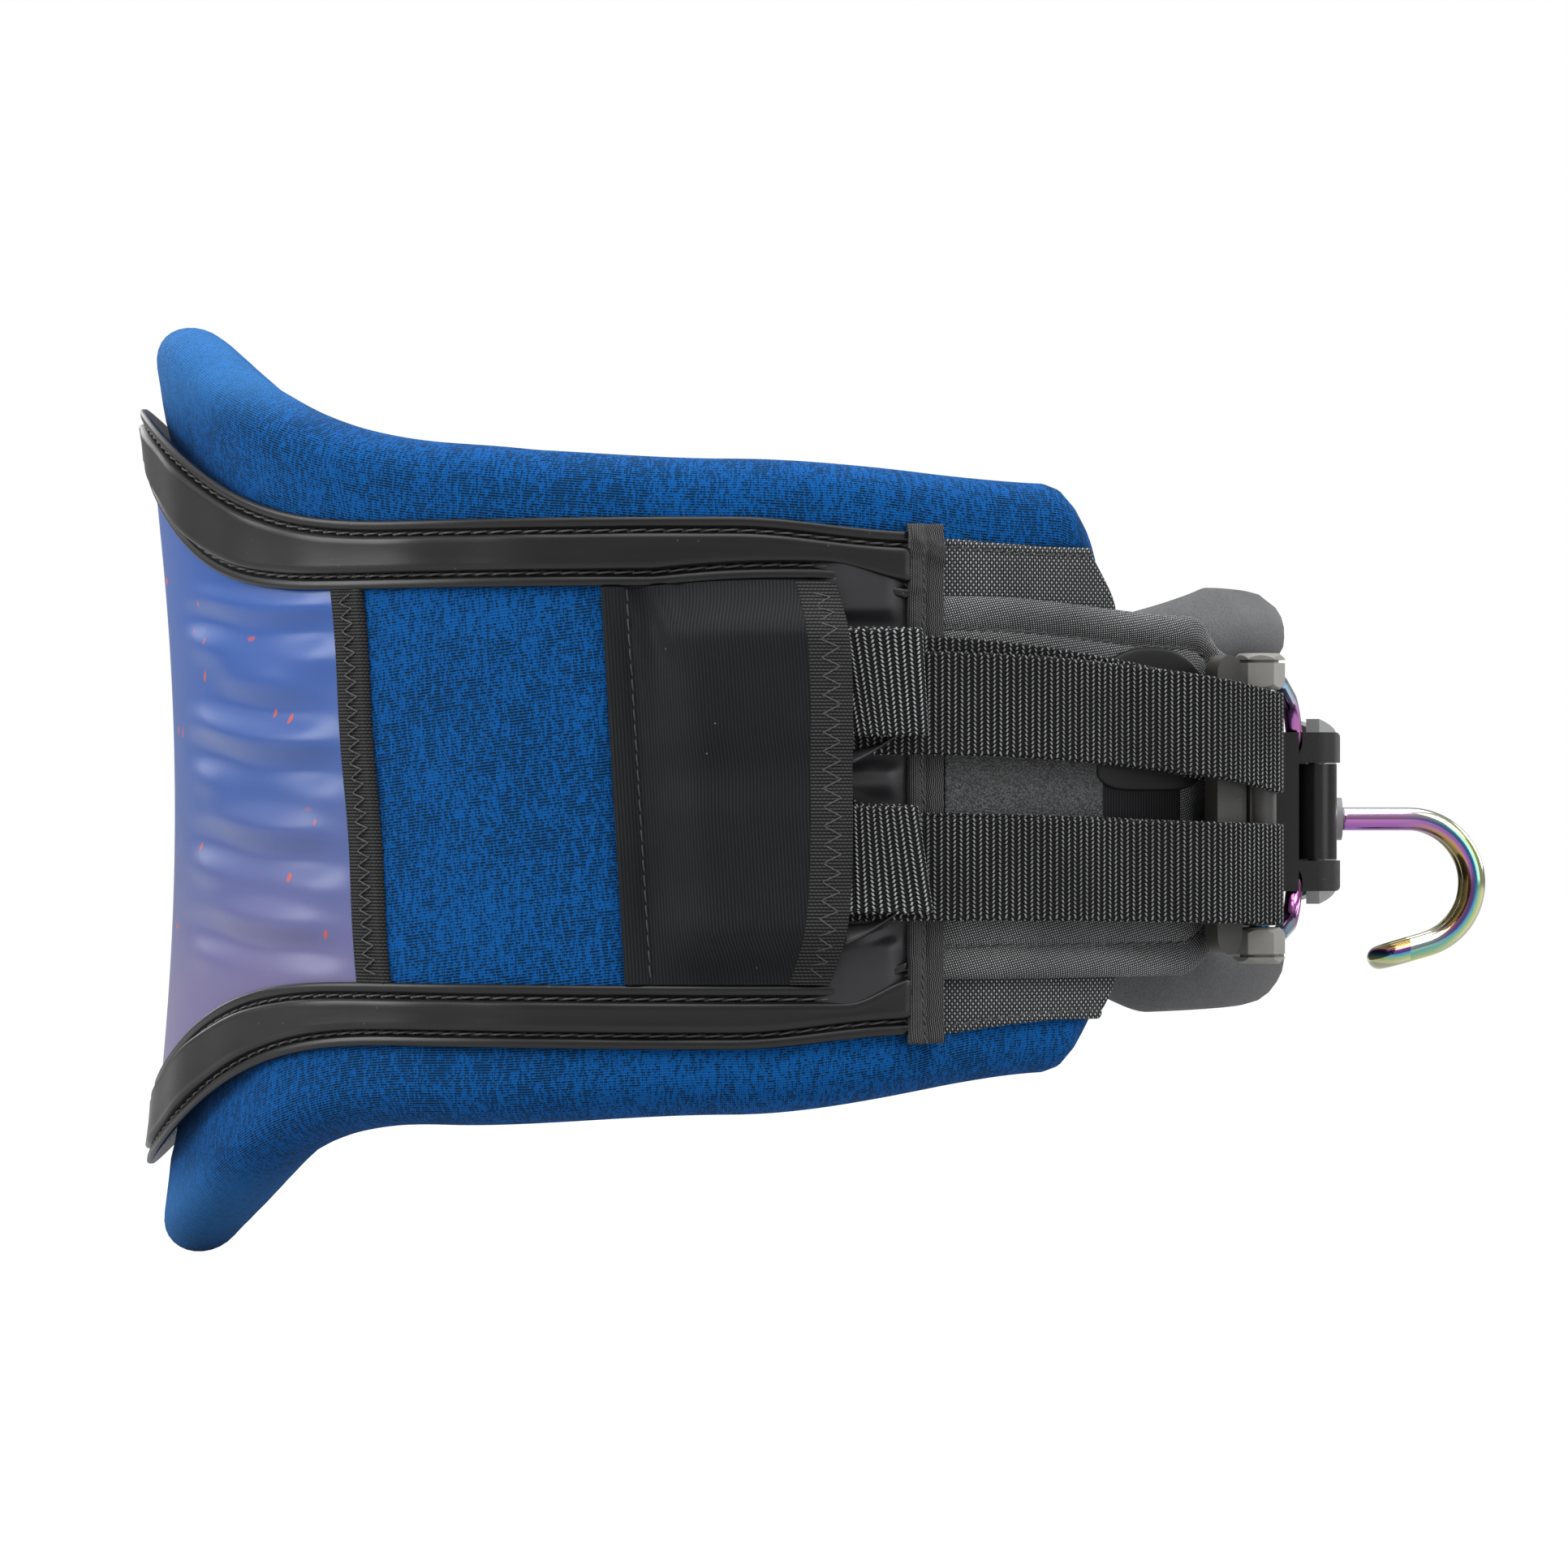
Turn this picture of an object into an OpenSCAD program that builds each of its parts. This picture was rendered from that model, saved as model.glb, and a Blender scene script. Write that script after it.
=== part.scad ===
// Waist harness with a hinged spreader bar and a line hook.
// +X points forward (the hook), +Y to the wearer's left, +Z up. Millimetres.
// The waist wall is a ring: an angle of 0 is the middle of the back, 180 the middle of the
// front, and a layer is given by its offset outward from the outer face of the wall.

/* [Waist] */
// Half of the outer width of the waist wall
waist_half = 165; // [140:1:200]
// From the waist axis to the outer face at the back
back_depth = 172; // [145:1:210]
// From the waist axis to the outer face at the front
front_depth = 188; // [165:1:220]
// Height of the middle of the back shell
waist_z = 135; // [120:1:150]
// How much the back wall leans out 100 mm above and below its middle
back_arch = 5.5; // [0:0.5:9]

/* [Lining] */
// Thickness of the padded lining
lining_t = 20; // [12:1:26]
// Height of the lining's top edge at the sides
lining_top = 236; // [220:1:245]
// Extra height of the top lip at the back
lip_rise = 44; // [20:1:55]
// Height of the lining's bottom edge at the sides
lining_bottom = 50; // [46:1:60]
// Extra drop of the bottom lip at the back
lip_drop = 50; // [30:1:50]
// Angle at which the lining ends at the front
lining_end = 126; // [122:1:130]

/* [Back shell and panels] */
// Thickness of the stiff lumbar shell
shell_t = 2.8; // [2:0.2:3]
// Thickness of the film over the shell
skin_t = 2.8; // [2:0.2:3]
// Angle of the seam between shell and side panel, at the top
seam_top = 50.3; // [46:0.1:54]
// Angle of the same seam at the bottom
seam_bottom = 53.6; // [50:0.1:58]
// Width of the seam ribbon
ribbon_w = 12; // [8:1:16]
// Angle at which the side panel meets the strap pocket
panel_end = 79; // [76:0.5:82]

/* [Edge trim] */
// Height of the upper trim's top edge at the sides
upper_trim_top = 219; // [210:1:225]
// Height of the upper trim's bottom edge at the sides
upper_trim_bottom = 199.5; // [192:0.5:205]
// Height of the lower trim's top edge at the sides
lower_trim_top = 87; // [82:0.5:92]
// Height of the lower trim's bottom edge at the sides
lower_trim_bottom = 69; // [62:0.5:74]
// Thickness of the trim at its raised middle
trim_t = 3; // [2:0.1:4]

/* [Webbing] */
// Width of the main straps
strap_w = 29; // [24:0.5:30]
// Thickness of one layer of webbing
strap_t = 1.8; // [1.2:0.1:2]
// Middle height of the upper strap at the hip
upper_strap_z = 166.5; // [162:0.5:168]
// Middle height of the lower strap at the hip
lower_strap_z = 119.7; // [117:0.1:122]
// Middle height of the upper strap at the bar
upper_loop_z = 155.8; // [154:0.1:156]
// Middle height of the lower strap at the bar
lower_loop_z = 117.5; // [117:0.1:119]
// Angle at which the strap pocket's mouth lies
mouth = 99; // [96:0.5:101]
// Angle at which the folded strap tails end
tail_end = 107; // [104:0.5:107]

/* [Front wing and bar arm] */
// Angle at which the front binding starts
binding_start = 105.5; // [104:0.5:106]
// Angle at which the front binding ends
binding_end = 109; // [108:0.5:110]
// Angle at which the bar arm ends
arm_end = 140; // [138:0.5:140]
// Height of the bar arm's top edge
arm_top = 196; // [192:1:200]
// Height of the bar arm's bottom edge
arm_bottom = 88.5; // [86:0.5:92]

/* [Bar pad] */
// Thickness of the foam pad behind the bar
pad_t = 16; // [14:1:20]
// Height of the pad's top
pad_top = 202; // [196:1:206]
// Height of the pad's bottom
pad_bottom = 77; // [74:1:80]
// Depth of the channel in which the bar lies
pad_channel = 9; // [8:0.5:10]

/* [Strap plate] */
// Radius of the sleeve that turns on the bar's end rod
sleeve_r = 5; // [4.6:0.1:5.4]
// From the sleeve's axis to the middle of the rear bar
plate_reach = 16; // [15:0.5:17]
// Width of the rear bar
rear_bar_w = 11; // [9:0.5:12]
// Thickness of the rear bar
rear_bar_t = 4.8; // [4:0.1:5]
// Height of the rear bar's top end
rear_bar_top = 181; // [178:0.5:183]
// Height of the rear bar's bottom end
rear_bar_bottom = 94.5; // [92:0.5:97]

/* [Spreader bar] */
// Angle of the end rod on the waist ring
end_rod_angle = 141.8; // [141.5:0.1:144]
// Radius of the end rod
end_rod_r = 3; // [2.6:0.1:3.2]
// Radial clearance of a shaft that turns in its bore
running_gap = 0.06; // [0.02:0.01:0.1]
// Radius of the upper and lower rods
wing_rod_r = 2.5; // [2.2:0.1:3]
// Across-corner radius of the ferrules on the end rod
ferrule_r = 7.5; // [6.5:0.1:8]
// Height of a ferrule
ferrule_h = 10.5; // [9:0.5:12]
// Half of the distance between the two hinge axes
hinge_y = 45; // [43:1:52]
// From the waist axis forward to the hinge axes
hinge_x = 175.5; // [174:0.5:180]
// Radius of the hinge barrel
barrel_r = 6.1; // [5.6:0.1:6.4]
// Height of the hinge barrel
barrel_h = 28.6; // [26:0.2:30]
// Radius of the hinge pin
hinge_pin_r = 2.5; // [2:0.1:3]
// Height of the bracket round the barrel
bracket_h = 47.6; // [44:0.2:50]
// Width of the bracket
bracket_w = 20; // [18:0.5:22]
// Thickness of the bracket's spine
bracket_spine = 8.5; // [7:0.5:9]

/* [Hook plate and hook] */
// Thickness of the bowed centre plate
plate_t = 3.5; // [3:0.1:4]
// How far the centre plate bows forward
plate_bow = 8; // [8:0.5:12]
// Half of the width of the centre plate's full-height part
plate_half = 32; // [28:0.5:32]
// Height of the centre plate at its ends
plate_h = 56; // [50:1:60]
// Height of the centre plate in the middle
plate_mid_h = 48; // [44:1:52]
// Radius of the hook's rod
hook_rod_r = 3.5; // [3:0.1:4]
// Radius of the hook's bend, at the rod's middle
hook_bend_r = 19.7; // [18:0.1:21]
// Angle through which the hook bends back
hook_turn = 164; // [155:1:175]
// Straight length of the hook's rods behind the bend
hook_tip = 9; // [5:0.5:11]
// Half of the distance between the hook's two rods
hook_half = 6; // [5:0.5:7]
// Straight length of the hook's shank, from the centre plate
hook_shank = 24; // [20:0.5:26]
// Height of the hook's shank
hook_z = 133; // [130:0.5:135]

/* [Hidden] */

$fn = 64;
seat = 0.3;                                   // gap between two layers that lie on each other
base_d = -(shell_t + skin_t + 2 * seat);      // outer face of the lining
lining_in = base_d - lining_t;                // inner face of the lining
panel_d = base_d + seat;                      // inner face of the panels over the lining
trim_step = 5;                                // angle between two sections of a long piece
run_step = 4;                                 // angle between two sections of a strap
run_sag = max(waist_half, front_depth) * pow(run_step * PI / 180, 2) / 8;  // its chord's sag
weld_gap = 0.02;                              // gap between pieces that are fixed face to face
rod_gap = 0.03;                               // gap round a rod that is moulded in
wing_t = 2;                                   // thickness of the front wing's cloth
arm_t = 10;                                   // thickness of the arm in front of the lining
tab_t = 1.6;                                  // thickness of the tab under the upper strap
binding_t = 1.2;                              // thickness of the front binding
ribbon_t = 1;                                 // thickness of the seam ribbon
tail_d = 2 * strap_t + 3 * seat;              // offset of the folded tail over the straps
pocket_in = tail_d + 2 * strap_t + 3 * seat;  // inner face of the pocket
pocket_t = 1.4;                               // thickness of the pocket's cloth
loop_start = 132;                             // angle at which the loop round the bar starts
pocket_rear = panel_end + 0.2;                // angle at which the pocket's rear edge starts
strap_start = pocket_rear + 6;                // angle at which the straps start in the pocket
end_rod_d = sleeve_r + seat * 2 + strap_t;    // offset of the end rod from the wall
upper_ferrule_z = upper_loop_z + strap_w / 2 + seat * 3;
lower_ferrule_z = lower_loop_z - strap_w / 2 - seat * 3 - ferrule_h;
pad_out = -arm_t - seat;                      // outer face of the bar pad under the arms
pad_flat = 9;                                 // how much flatter the pad is than the wall
pad_start = 128;                              // angle at which the pad's ends lie
hinge_z = (upper_ferrule_z + lower_ferrule_z + ferrule_h) / 2 - 1.2;
bracket_back = hinge_x - barrel_r - bracket_spine;
plate_front = hinge_x + plate_bow;            // front of the centre plate, less half its thickness
hook_bend_x = plate_front + hook_shank;
hook_front = hook_bend_x + hook_bend_r + hook_rod_r;
trim_ridge_z = upper_hi(0) - 6;               // highest point of the trim's raised middle
middle_x = (hook_front - back_depth - trim_t - wall_lean(0, trim_ridge_z)) / 2;

// ---- shape of the waist ring ----

// A hill of height 1 at angle 0 that falls to 0 at the given width.
function hill(a, width, power) = abs(a) < width ? pow(cos(a * 90 / width), power) : 0;

// A smooth step from 0 to 1 between two values.
function ease(v, low, high) =
    let (t = max(0, min(1, (v - low) / (high - low)))) t * t * (3 - 2 * t);

function depth(a) = abs(a) < 90 ? back_depth : front_depth;

function wall_lean(a, z) = back_arch * pow((z - waist_z) / 100, 2) * hill(a, 70, 2);

// A point of the wall at angle a, offset d outward, height z.
function wall_point(a, d, z) =
    let (e = d + wall_lean(a, z)) [-(depth(a) + e) * cos(a), (waist_half + e) * sin(a), z];

function angles(from, to, step) =
    let (n = max(1, ceil(abs(to - from) / step))) [for (i = [0:n]) from + (to - from) * i / n];

// Angles to both sides of the middle of the back, with one at the middle.
function both_ways(end, step) = let (n = ceil(end / step)) [for (i = [-n:n]) end * i / n];

// Sections, as [offset, height] points, going round once.
function slab(d0, d1, z0, z1, n) = concat(
    [for (i = [0:n]) [d0, z0 + (z1 - z0) * i / n]],
    [for (i = [n:-1:0]) [d1, z0 + (z1 - z0) * i / n]]
);

function cushion(d0, d1, z0, z1, round_z, n) =
    let (mid = (d0 + d1) / 2, half = (d1 - d0) / 2) concat(
        [for (t = [180:-30:0]) [mid + half * cos(t), z1 - round_z + round_z * sin(t)]],
        [for (i = [1:n - 1]) [d1, z1 - round_z - (z1 - z0 - 2 * round_z) * i / n]],
        [for (t = [0:-30:-180]) [mid + half * cos(t), z0 + round_z + round_z * sin(t)]],
        [for (i = [1:n - 1]) [d0, z0 + round_z + (z1 - z0 - 2 * round_z) * i / n]]
    );

// One closed solid through a list of rings with the same number of points each. The end of a
// section that goes up one side and down the other is filled rung by rung, any other as one face.
module rings(list, rungs = true) {
    n = len(list[0]);
    m = len(list);
    last = (m - 1) * n;
    sides = [for (i = [0:m - 2]) for (k = [0:n - 1])
        each [[i * n + k, (i + 1) * n + k, i * n + (k + 1) % n],
              [(i + 1) * n + k, (i + 1) * n + (k + 1) % n, i * n + (k + 1) % n]]];
    ends = rungs
        ? [for (k = [0:n / 2 - 2]) each [
            [k, k + 1, n - 1 - k], [k + 1, n - 2 - k, n - 1 - k],
            [last + k, last + n - 1 - k, last + k + 1],
            [last + k + 1, last + n - 1 - k, last + n - 2 - k]]]
        : [[for (k = [0:n - 1]) k], [for (k = [n - 1:-1:0]) last + k]];
    polyhedron([for (ring = list) each ring], concat(sides, ends), convexity = 8);
}

// A piece of the waist wall on the wearer's right, from one angle to another.
module wall_piece(list, section, rungs = true) {
    rings([for (a = list) [for (p = section(a)) wall_point(-a, p[0], p[1])]], rungs);
}

module left_side() {
    mirror([0, 1, 0]) children();
}

// ---- heights that change round the waist ----

function lining_hi(a) =
    lining_top + 4 * (1 - ease(abs(a), 60, 90)) - 6 * ease(abs(a), 90, 122)
    + lip_rise * pow(hill(a, 65, 1), 2.4) - 15 * ease(abs(a), lining_end - 5, lining_end + 1);
function lining_lo(a) =
    lining_bottom - 4 * (1 - ease(abs(a), 60, 90)) + 11 * ease(abs(a), 90, 122)
    - (lip_drop - 4) * pow(hill(a, 60, 1), 2.4) + 14 * ease(abs(a), lining_end - 5, lining_end + 1);
function upper_hi(a) = upper_trim_top + 40 * hill(a, 60, 3) - 4 * ease(abs(a), 90, 106);
function upper_lo(a) = upper_trim_bottom + 38 * hill(a, 60, 5) + 2 * hill(abs(a) - 95, 12, 1)
    - 4 * ease(abs(a), 98, 106);
function lower_hi(a) = lower_trim_top - 35 * hill(a, 60, 4) + 7 * ease(abs(a), 100, 106);
function lower_lo(a) = lower_trim_bottom - 42 * hill(a, 60, 3) + 4 * ease(abs(a), 90, 106);
function seam_angle(z) = seam_top + (seam_bottom - seam_top) * (200 - z) / 110;

// Middle height of a strap between its hip end and the bar, falling faster towards the bar.
function strap_z(a, hip_z, loop_z) =
    hip_z + (loop_z - hip_z)
    * pow(max(0, min(1, (a - binding_start) / (end_rod_angle - binding_start))), 2);

// ---- plan points of the straps and the strap plate, on the right ----

function plan(a, d) = let (p = wall_point(-a, d, waist_z)) [p[0], p[1]];
// How far the front binding, and then the tab, lift the straps off the wall.
function lift(a) = (binding_t + run_sag) * ease(a, 98, 104.5)
    + (tab_t - binding_t + run_sag) * ease(a, 112, 120);
end_rod = plan(end_rod_angle, end_rod_d);
rear_angle = end_rod_angle - plate_reach / 3.13;
rear_bar = plan(rear_angle, end_rod_d);
plate_turn = atan2(end_rod[1] - rear_bar[1], end_rod[0] - rear_bar[0]);
loop_r = sleeve_r + seat + strap_t / 2;

// Offsets of the middle of the inner and the outer layer of a strap.
function inner_d(a) = seat + strap_t / 2 + lift(a) * (1 - ease(a, 137, 142));
function outer_d(a) =
    let (low = 2 * seat + 1.5 * strap_t + lift(a), high = end_rod_d + loop_r)
    low + (high - low) * ease(a, 124, 135.5);

// The hairpin path of a strap: forward under, round the sleeve and back on top.
inner_run = [for (a = angles(strap_start, loop_start, run_step)) plan(a, inner_d(a))];
loop_in = [for (a = angles(loop_start, end_rod_angle, 2.5)) plan(a, inner_d(a))];
loop_out = [for (a = angles(end_rod_angle, loop_start, 2.5)) plan(a, outer_d(a))];
outer_run = [for (a = angles(loop_start, strap_start, run_step)) plan(a, outer_d(a))];
loop_turn = [for (t = [150:-30:30])
    end_rod + loop_r * [cos(t + end_rod_angle - 180), sin(t + end_rod_angle - 180)]];

// Angle round the waist of a plan point.
function waist_angle(p) = abs(atan2(p[1] / waist_half, -p[0] / depth(p[0] < 0 ? 0 : 180)));

// A band of webbing along a plan path, with the path's own neighbours setting its ends.
module webbing(path, from, to, hip_z, loop_z, w) {
    rings([for (i = [from:to])
        let (
            p = path[i],
            along = path[min(i + 1, len(path) - 1)] - path[max(i - 1, 0)],
            side = [along[1], -along[0]] / norm(along) * strap_t / 2,
            z = strap_z(waist_angle(p), hip_z, loop_z)
        )
        [[p[0] + side[0], p[1] + side[1], z - w / 2], [p[0] + side[0], p[1] + side[1], z + w / 2],
         [p[0] - side[0], p[1] - side[1], z + w / 2], [p[0] - side[0], p[1] - side[1], z - w / 2]]
    ]);
}

strap_path = concat(
    inner_run, [for (i = [1:len(loop_in) - 1]) loop_in[i]], loop_turn, loop_out,
    [for (i = [1:len(outer_run) - 1]) outer_run[i]]
);
loop_first = len(inner_run) - 1;
loop_last = loop_first + len(loop_in) + len(loop_turn) + len(loop_out) - 1;

// ---- soft wall ----

function lining_section(a) =
    cushion(lining_in - 4 * hill(a, 60, 1), base_d, lining_lo(a), lining_hi(a), 11, 7);

module lining_part(list) {
    color("royalblue") wall_piece(list, function(a) lining_section(a));
}

module lining_back() {
    lining_part(both_ways(seam_top + 1, 6));
}

module lining_side() {
    lining_part(angles(seam_top + 1, lining_end, 6));
}

// A panel between two edges whose angles change with height.
module panel(first, last, d0, d1, z0, z1, across, rows) {
    rings([for (i = [0:across]) [for (p = slab(d0, d1, 0, 1, rows))
        let (
            near_a = first(waist_z) + (last(waist_z) - first(waist_z)) * i / across,
            near_z = z0(near_a) + (z1(near_a) - z0(near_a)) * p[1],
            a = first(near_z) + (last(near_z) - first(near_z)) * i / across
        )
        wall_point(-a, p[0], z0(a) + (z1(a) - z0(a)) * p[1])
    ]]);
}

tuck = 7;                                     // how far the panels reach under the trims
function under_upper(a) = upper_lo(a) + tuck;
function under_lower(a) = lower_hi(a) - tuck;

module lumbar_shell() {
    color("dimgray") panel(
        function(z) -seam_angle(z) + 1, function(z) seam_angle(z) - 1, panel_d, panel_d + shell_t,
        function(a) under_lower(a), function(a) under_upper(a), 20, 8
    );
}

module shell_skin() {
    color("slateblue") panel(
        function(z) -seam_angle(z), function(z) seam_angle(z), -skin_t, 0,
        function(a) under_lower(a), function(a) under_upper(a), 20, 8
    );
}

module trim(z0, z1) {
    color("black") wall_piece(
        both_ways(binding_start - 0.1, trim_step),
        function(a) let (low = z0(a), high = z1(a)) [
            [seat, low], [seat, high], [trim_t * 0.5, high], [trim_t * 0.55, high - 4],
            [trim_t, high - 6], [trim_t, low + 6], [trim_t * 0.55, low + 4], [trim_t * 0.5, low]
        ]
    );
}

module upper_trim() {
    trim(function(a) upper_lo(a), function(a) upper_hi(a));
}

module lower_trim() {
    trim(function(a) lower_lo(a), function(a) lower_hi(a));
}

ribbon_half = ribbon_w / 2 / 2.93;            // half of the ribbon's width, as an angle

module seam_ribbon() {
    color("black") panel(
        function(z) seam_angle(z) - ribbon_half, function(z) seam_angle(z) + ribbon_half,
        seat, seat + ribbon_t, function(a) lower_hi(a) + seat, function(a) upper_lo(a) - seat, 2, 5
    );
}

module side_panel() {
    color("royalblue") panel(
        function(z) seam_angle(z) + 0.1, function(z) panel_end, panel_d, 0,
        function(a) under_lower(a), function(a) under_upper(a), 5, 5
    );
}

module hip_panel() {
    color("black") wall_piece(
        angles(panel_end + 0.1, binding_start + 1.7, 5),
        function(a) slab(panel_d, 0, under_lower(a), under_upper(a), 3)
    );
}

// ---- strap pocket and tails ----

function pocket_out(a) = 1.8 + (pocket_in + pocket_t - 1.8) * ease(a, pocket_rear, pocket_rear + 9);

function pocket_section(a, lip) =
    let (
        out = pocket_out(a) + lip, in = pocket_out(a) - pocket_t,
        low = lower_hi(a) + 0.8, high = upper_lo(a) - 0.8
    ) [
        [seat, low + pocket_t], [in - 0.2, low + pocket_t], [in, low + pocket_t + 1],
        [in, high - pocket_t - 1], [in - 0.2, high - pocket_t], [seat, high - pocket_t],
        [seat, high], [out - 1, high], [out, high - 3], [out, low + 3], [out - 1, low], [seat, low]
    ];

binding_w = 3.4;                              // width of the pocket's binding, as an angle

module strap_pocket() {
    color("black") wall_piece(
        angles(pocket_rear + 1, mouth - binding_w / 2 - 0.1, 2.5), function(a) pocket_section(a, 0)
    );
}

module pocket_binding() {
    color("dimgray") wall_piece(
        angles(mouth - binding_w / 2, mouth + binding_w / 2, 1), function(a) pocket_section(a, 0.8)
    );
}

tail_mid = tail_d + strap_t / 2;
tail_gap = strap_t + seat;
tail_w = strap_w + 1;

// The tail comes out of the pocket, folds over and goes back in.
tail_path = concat(
    [for (a = angles(mouth - 8, tail_end, 3)) plan(a, tail_mid + lift(a))],
    [for (t = [60:-60:-60])
        let (fold = tail_gap / 2)
            plan(tail_end + 0.33 * fold * cos(t), tail_mid + lift(tail_end) + fold - fold * sin(t))],
    [for (a = angles(tail_end, mouth - 8, 3)) plan(a, tail_mid + lift(a) + tail_gap)]
);

module tail(z) {
    color("dimgray") webbing(tail_path, 0, len(tail_path) - 1, z, z, tail_w);
}

// ---- front of the wall ----

module front_binding() {
    color("black") wall_piece(
        angles(binding_start, binding_end, 1.2),
        function(a) slab(seat, seat + binding_t, lower_lo(a), upper_hi(a) - 1, 4)
    );
}

function wing_hi(a) = lining_hi(a) - 19 * (1 - ease(a, 121, 127));
function wing_lo(a) = lining_lo(a) + 16 * (1 - ease(a, 121, 127));

module front_wing() {
    color("black") wall_piece(
        angles(binding_start + 2, lining_end + 0.8, 5),
        function(a) slab(panel_d, panel_d + wing_t, wing_lo(a), wing_hi(a), 3)
    );
}

// The arm is thin over the wing and thick in front of it.
function arm_section(a) = cushion(
    a < lining_end + 1.2 ? panel_d + wing_t + seat : -arm_t, 0,
    arm_bottom + 9 * ease(a, arm_end - 6, arm_end),
    arm_top - 4 * ease(a, 118, 134) - 12 * pow(ease(a, arm_end - 7, arm_end), 2), 5, 4
);

module bar_arm() {
    color("black") wall_piece(
        concat(angles(binding_start + 1.9, lining_end + 1.1, 4), angles(lining_end + 1.3, arm_end, 3)),
        function(a) arm_section(a)
    );
}

module grain_panel() {
    color("dimgray") wall_piece(
        angles(binding_end + 0.3, loop_start - 9, 4),
        function(a) slab(
            seat, 1.4,
            strap_z(a, lower_strap_z, lower_loop_z) + strap_w / 2 + 0.5,
            strap_z(a, upper_strap_z, upper_loop_z) - strap_w / 2 - 0.5, 1
        )
    );
}

tab_low = upper_loop_z - strap_w / 2 + 0.2;
tab_high = 184.5;

module strap_tab() {
    color("black") wall_piece(
        angles(123.2, 136.6, 1.5),
        function(a) let (corner = 5 * (1 - ease(a, 123, 126) + ease(a, 133.8, 136.8)))
            slab(seat, seat + tab_t, tab_low + corner, tab_high - corner, 1)
    );
}

// ---- straps ----

module strap_runs(hip_z, loop_z) {
    color("dimgray") {
        webbing(strap_path, 0, loop_first, hip_z, loop_z, strap_w);
        webbing(strap_path, loop_last, len(strap_path) - 1, hip_z, loop_z, strap_w);
    }
}

module strap_loop(hip_z, loop_z) {
    color("gray") webbing(strap_path, loop_first, loop_last, hip_z, loop_z, strap_w);
}

module upper_strap() {
    strap_runs(upper_strap_z, upper_loop_z);
}

module lower_strap() {
    strap_runs(lower_strap_z, lower_loop_z);
}

module upper_loop() {
    strap_loop(upper_strap_z, upper_loop_z);
}

module lower_loop() {
    strap_loop(lower_strap_z, lower_loop_z);
}

module upper_tail() {
    tail(upper_strap_z + 6);
}

module lower_tail() {
    tail(lower_strap_z + 3);
}

// ---- bar pad ----

function to_front(a) = a > 180 ? 360 - a : a;
function pad_hi(a) = pad_top - 10 * (1 - ease(to_front(a), pad_start - 2, pad_start + 18));
function pad_lo(a) = pad_bottom + 8 * (1 - ease(to_front(a), pad_start - 2, pad_start + 10));
function pad_face(a) = front_depth + pad_out - pad_flat * ease(to_front(a), 132, 180);

function pad_section(a) =
    let (hi = pad_hi(a), lo = pad_lo(a)) [
        [-pad_t, lo + 4], [-pad_t, hi - 3], [3 - pad_t, hi], [9 - pad_t, hi - 1], [-2, hi - 6],
        [0, hi - 14], [0, hi - 19], [-pad_channel, hi - 24], [-pad_channel, lo + 24], [0, lo + 19],
        [0, lo + 12], [-3, lo + 6], [-8, lo + 1], [3 - pad_t, lo]
    ];

module bar_pad() {
    color("darkslategray") rings([for (a = angles(pad_start, 360 - pad_start, 4))
        [for (p = pad_section(a))
            [-(pad_face(a) + p[0]) * cos(a), -(waist_half + pad_out + p[0]) * sin(a), p[1]]]], false);
}

// ---- strap plate, with the sleeve that turns on the end rod ----

sleeve_low = lower_ferrule_z + ferrule_h + 2 * seat;
sleeve_high = upper_ferrule_z - 2 * seat;
slot_w = 1.6;                                 // width of the slots beside the sleeve
slot_h = 19;                                  // height of one slot

module strap_plate() {
    bar_r = rear_bar_w / 2;
    web_len = plate_reach - bar_r + 1;
    slots = 3;
    color("gray") translate([end_rod[0], end_rod[1], 0]) rotate(plate_turn) difference() {
        union() {
            translate([0, 0, sleeve_low]) cylinder(r = sleeve_r, h = sleeve_high - sleeve_low);
            translate([-web_len, -1.5, sleeve_low + 2]) cube([web_len, 3, sleeve_high - sleeve_low - 4]);
            translate([-plate_reach, 0, 0]) {
                translate([-bar_r, -rear_bar_t / 2, rear_bar_bottom + bar_r])
                    cube([rear_bar_w, rear_bar_t, rear_bar_top - rear_bar_bottom - rear_bar_w]);
                for (z = [rear_bar_bottom + bar_r, rear_bar_top - bar_r])
                    translate([0, rear_bar_t / 2, z]) rotate([90, 0, 0])
                        cylinder(r = bar_r, h = rear_bar_t);
            }
        }
        translate([0, 0, sleeve_low - 1])
            cylinder(r = end_rod_r + running_gap, h = sleeve_high - sleeve_low + 2);
        for (i = [0:slots - 1])
            translate([-sleeve_r - 2.6, -4, sleeve_low + 3 + i * (slot_h + 2.2)])
                cube([slot_w, 8, slot_h]);
    }
}

// ---- spreader bar ----

// Round rod through a list of points, with a ball at each bend.
module rod_run(points, r) {
    for (i = [0:len(points) - 2])
        let (v = points[i + 1] - points[i])
            translate(points[i]) rotate([0, acos(v[2] / norm(v)), atan2(v[1], v[0])])
                cylinder(r = r, h = norm(v));
    for (i = [1:len(points) - 2]) translate(points[i]) sphere(r = r * 1.04);
}

cap_h = (bracket_h - barrel_h - 2 * seat - 0.2) / 2;
bracket_low = hinge_z - bracket_h / 2;
bend_out = [hinge_x - 9.5, -hinge_y - 15];    // where a rod turns towards the bracket
rod_end = [hinge_x - 6.6, -hinge_y - 4.6];    // where a rod ends, inside the bracket
rod_depth = 6;                                // how far a rod reaches into the bracket

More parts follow.
